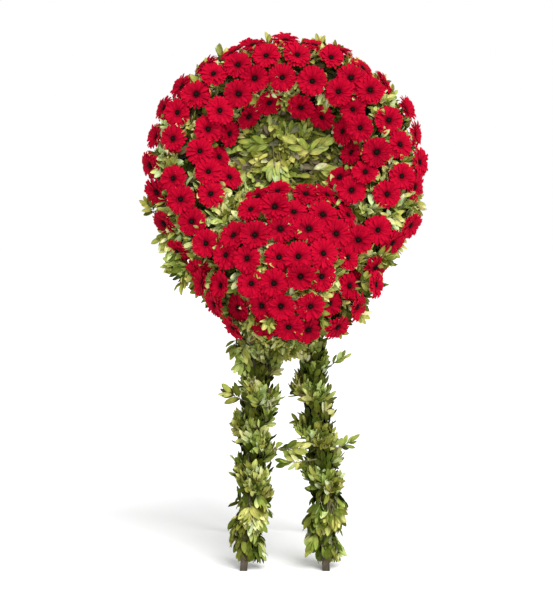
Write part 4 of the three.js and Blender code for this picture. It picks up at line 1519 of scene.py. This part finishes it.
wires = Growth()
wire_random = np.random.default_rng(9)
for i in range(STITCHES):
    angle = 2 * math.pi * (i + 0.5) / STITCHES
    outward = np.array((math.cos(angle), 0, math.sin(angle)))
    across = np.array((-math.sin(angle), 0, math.cos(angle)))
    place = np.array((0, BOARD_BACK, BOARD["z"])) + outward * STITCH_RADIUS
    along = across + outward * wire_random.normal(0, 0.15)
    wires.add(stitch, [laid(place, along, -FORWARD, STITCH_LENGTH)], [0.5])
    along = outward + across * wire_random.normal(0, 0.5)
    wires.add(tail, [laid(place + outward * 0.010, along, -FORWARD, TAIL_LENGTH)], [0.5])
for i in range(RIM_TURNS):
    angle = math.radians(FIRST_TURN + TURN_STEP * i)
    outward = np.array((math.cos(angle), 0, math.sin(angle)))
    place = np.array((0, -FACE + 0.004, RIM["z"])) + outward * TURN_RADIUS
    along = outward + 0.08 * wire_random.normal(0, 1, 3)
    wires.add(turn_over, [laid(place, along, -FORWARD, TURN_LENGTH)], [0.5])
binding_wire = wires.build("binding_wire", [steel_wire])
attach(binding_wire, "root")
print("wire faces:", len(binding_wire.data.polygons))

# %% [markdown]
# ## Floor, light and camera
# The floor is a wide, matt, nearly white plane, a hair below the feet.

# %% Floor
start_clean()
bpy.ops.mesh.primitive_plane_add(size=60, location=(0, 0, -0.0005))
floor = bpy.context.object
floor.name = "studio_floor"
floor_material, _, floor_shader = new_material("studio_floor", roughness=1.0)
floor_shader.inputs["Base Color"].default_value = (0.95, 0.95, 0.95, 1)
floor_shader.inputs["Specular IOR Level"].default_value = 0.0
floor.data.materials.append(floor_material)
floor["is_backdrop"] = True

# %% [markdown]
# The room is an even, pale grey light from everywhere, and one soft sun, high in front on the right,
# adds the rest. Where both reach the floor it is pure white, and where the wreath stands in the sun's
# way a soft grey shadow falls back and to the left. The camera sees the room itself as white.

# %% Light
ROOM_LIGHT, SUN_LIGHT, SUN_SOFTNESS = 0.70, 3.6, 0.80
SUN_FROM = Vector((0.50, -1.0, 1.05))

world = bpy.data.worlds.new("studio")
scene.world = world
world.use_nodes = True
room = world.node_tree.nodes["Background"]
room.inputs["Color"].default_value = (1, 1, 1, 1)
seen = world.node_tree.nodes.new("ShaderNodeLightPath").outputs["Is Camera Ray"]
strength = calculate(world.node_tree, "MAXIMUM", seen, ROOM_LIGHT)
link(world.node_tree, strength, room.inputs["Strength"])

sun_data = bpy.data.lights.new("sun", "SUN")
sun_data.energy = SUN_LIGHT
sun_data.angle = SUN_SOFTNESS
sun = bpy.data.objects.new("sun", sun_data)
sun.location = SUN_FROM * 3
sun.rotation_euler = (-SUN_FROM).to_track_quat("-Z", "Y").to_euler()
scene.collection.objects.link(sun)

# %% [markdown]
# The camera stands nearly five metres away, a little higher than the middle of the wreath, and aims
# at that middle through a long lens.

# %% Camera
AIM = Vector((-0.028, 0.0, 0.873))
DISTANCE, ELEVATION = 4.905, math.radians(4)

camera_data = bpy.data.cameras.new("camera")
camera_data.lens = 85
camera = bpy.data.objects.new("camera", camera_data)
camera.location = AIM + Vector((0, -DISTANCE * math.cos(ELEVATION), DISTANCE * math.sin(ELEVATION)))
camera.rotation_euler = (AIM - camera.location).to_track_quat("-Z", "Y").to_euler()
scene.collection.objects.link(camera)
scene.camera = camera

scene.view_settings.view_transform = "Standard"
scene.view_settings.look = "None"

# %% [markdown]
# ## Sizes, and the end
# The box round everything now is printed. Leaves and petals reach a little past the solids they stand
# for, about a centimetre at the front and less elsewhere.

# %% Sizes, and the end
low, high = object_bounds()
print("visual box", [round(v, 3) for v in (*low, *high)])
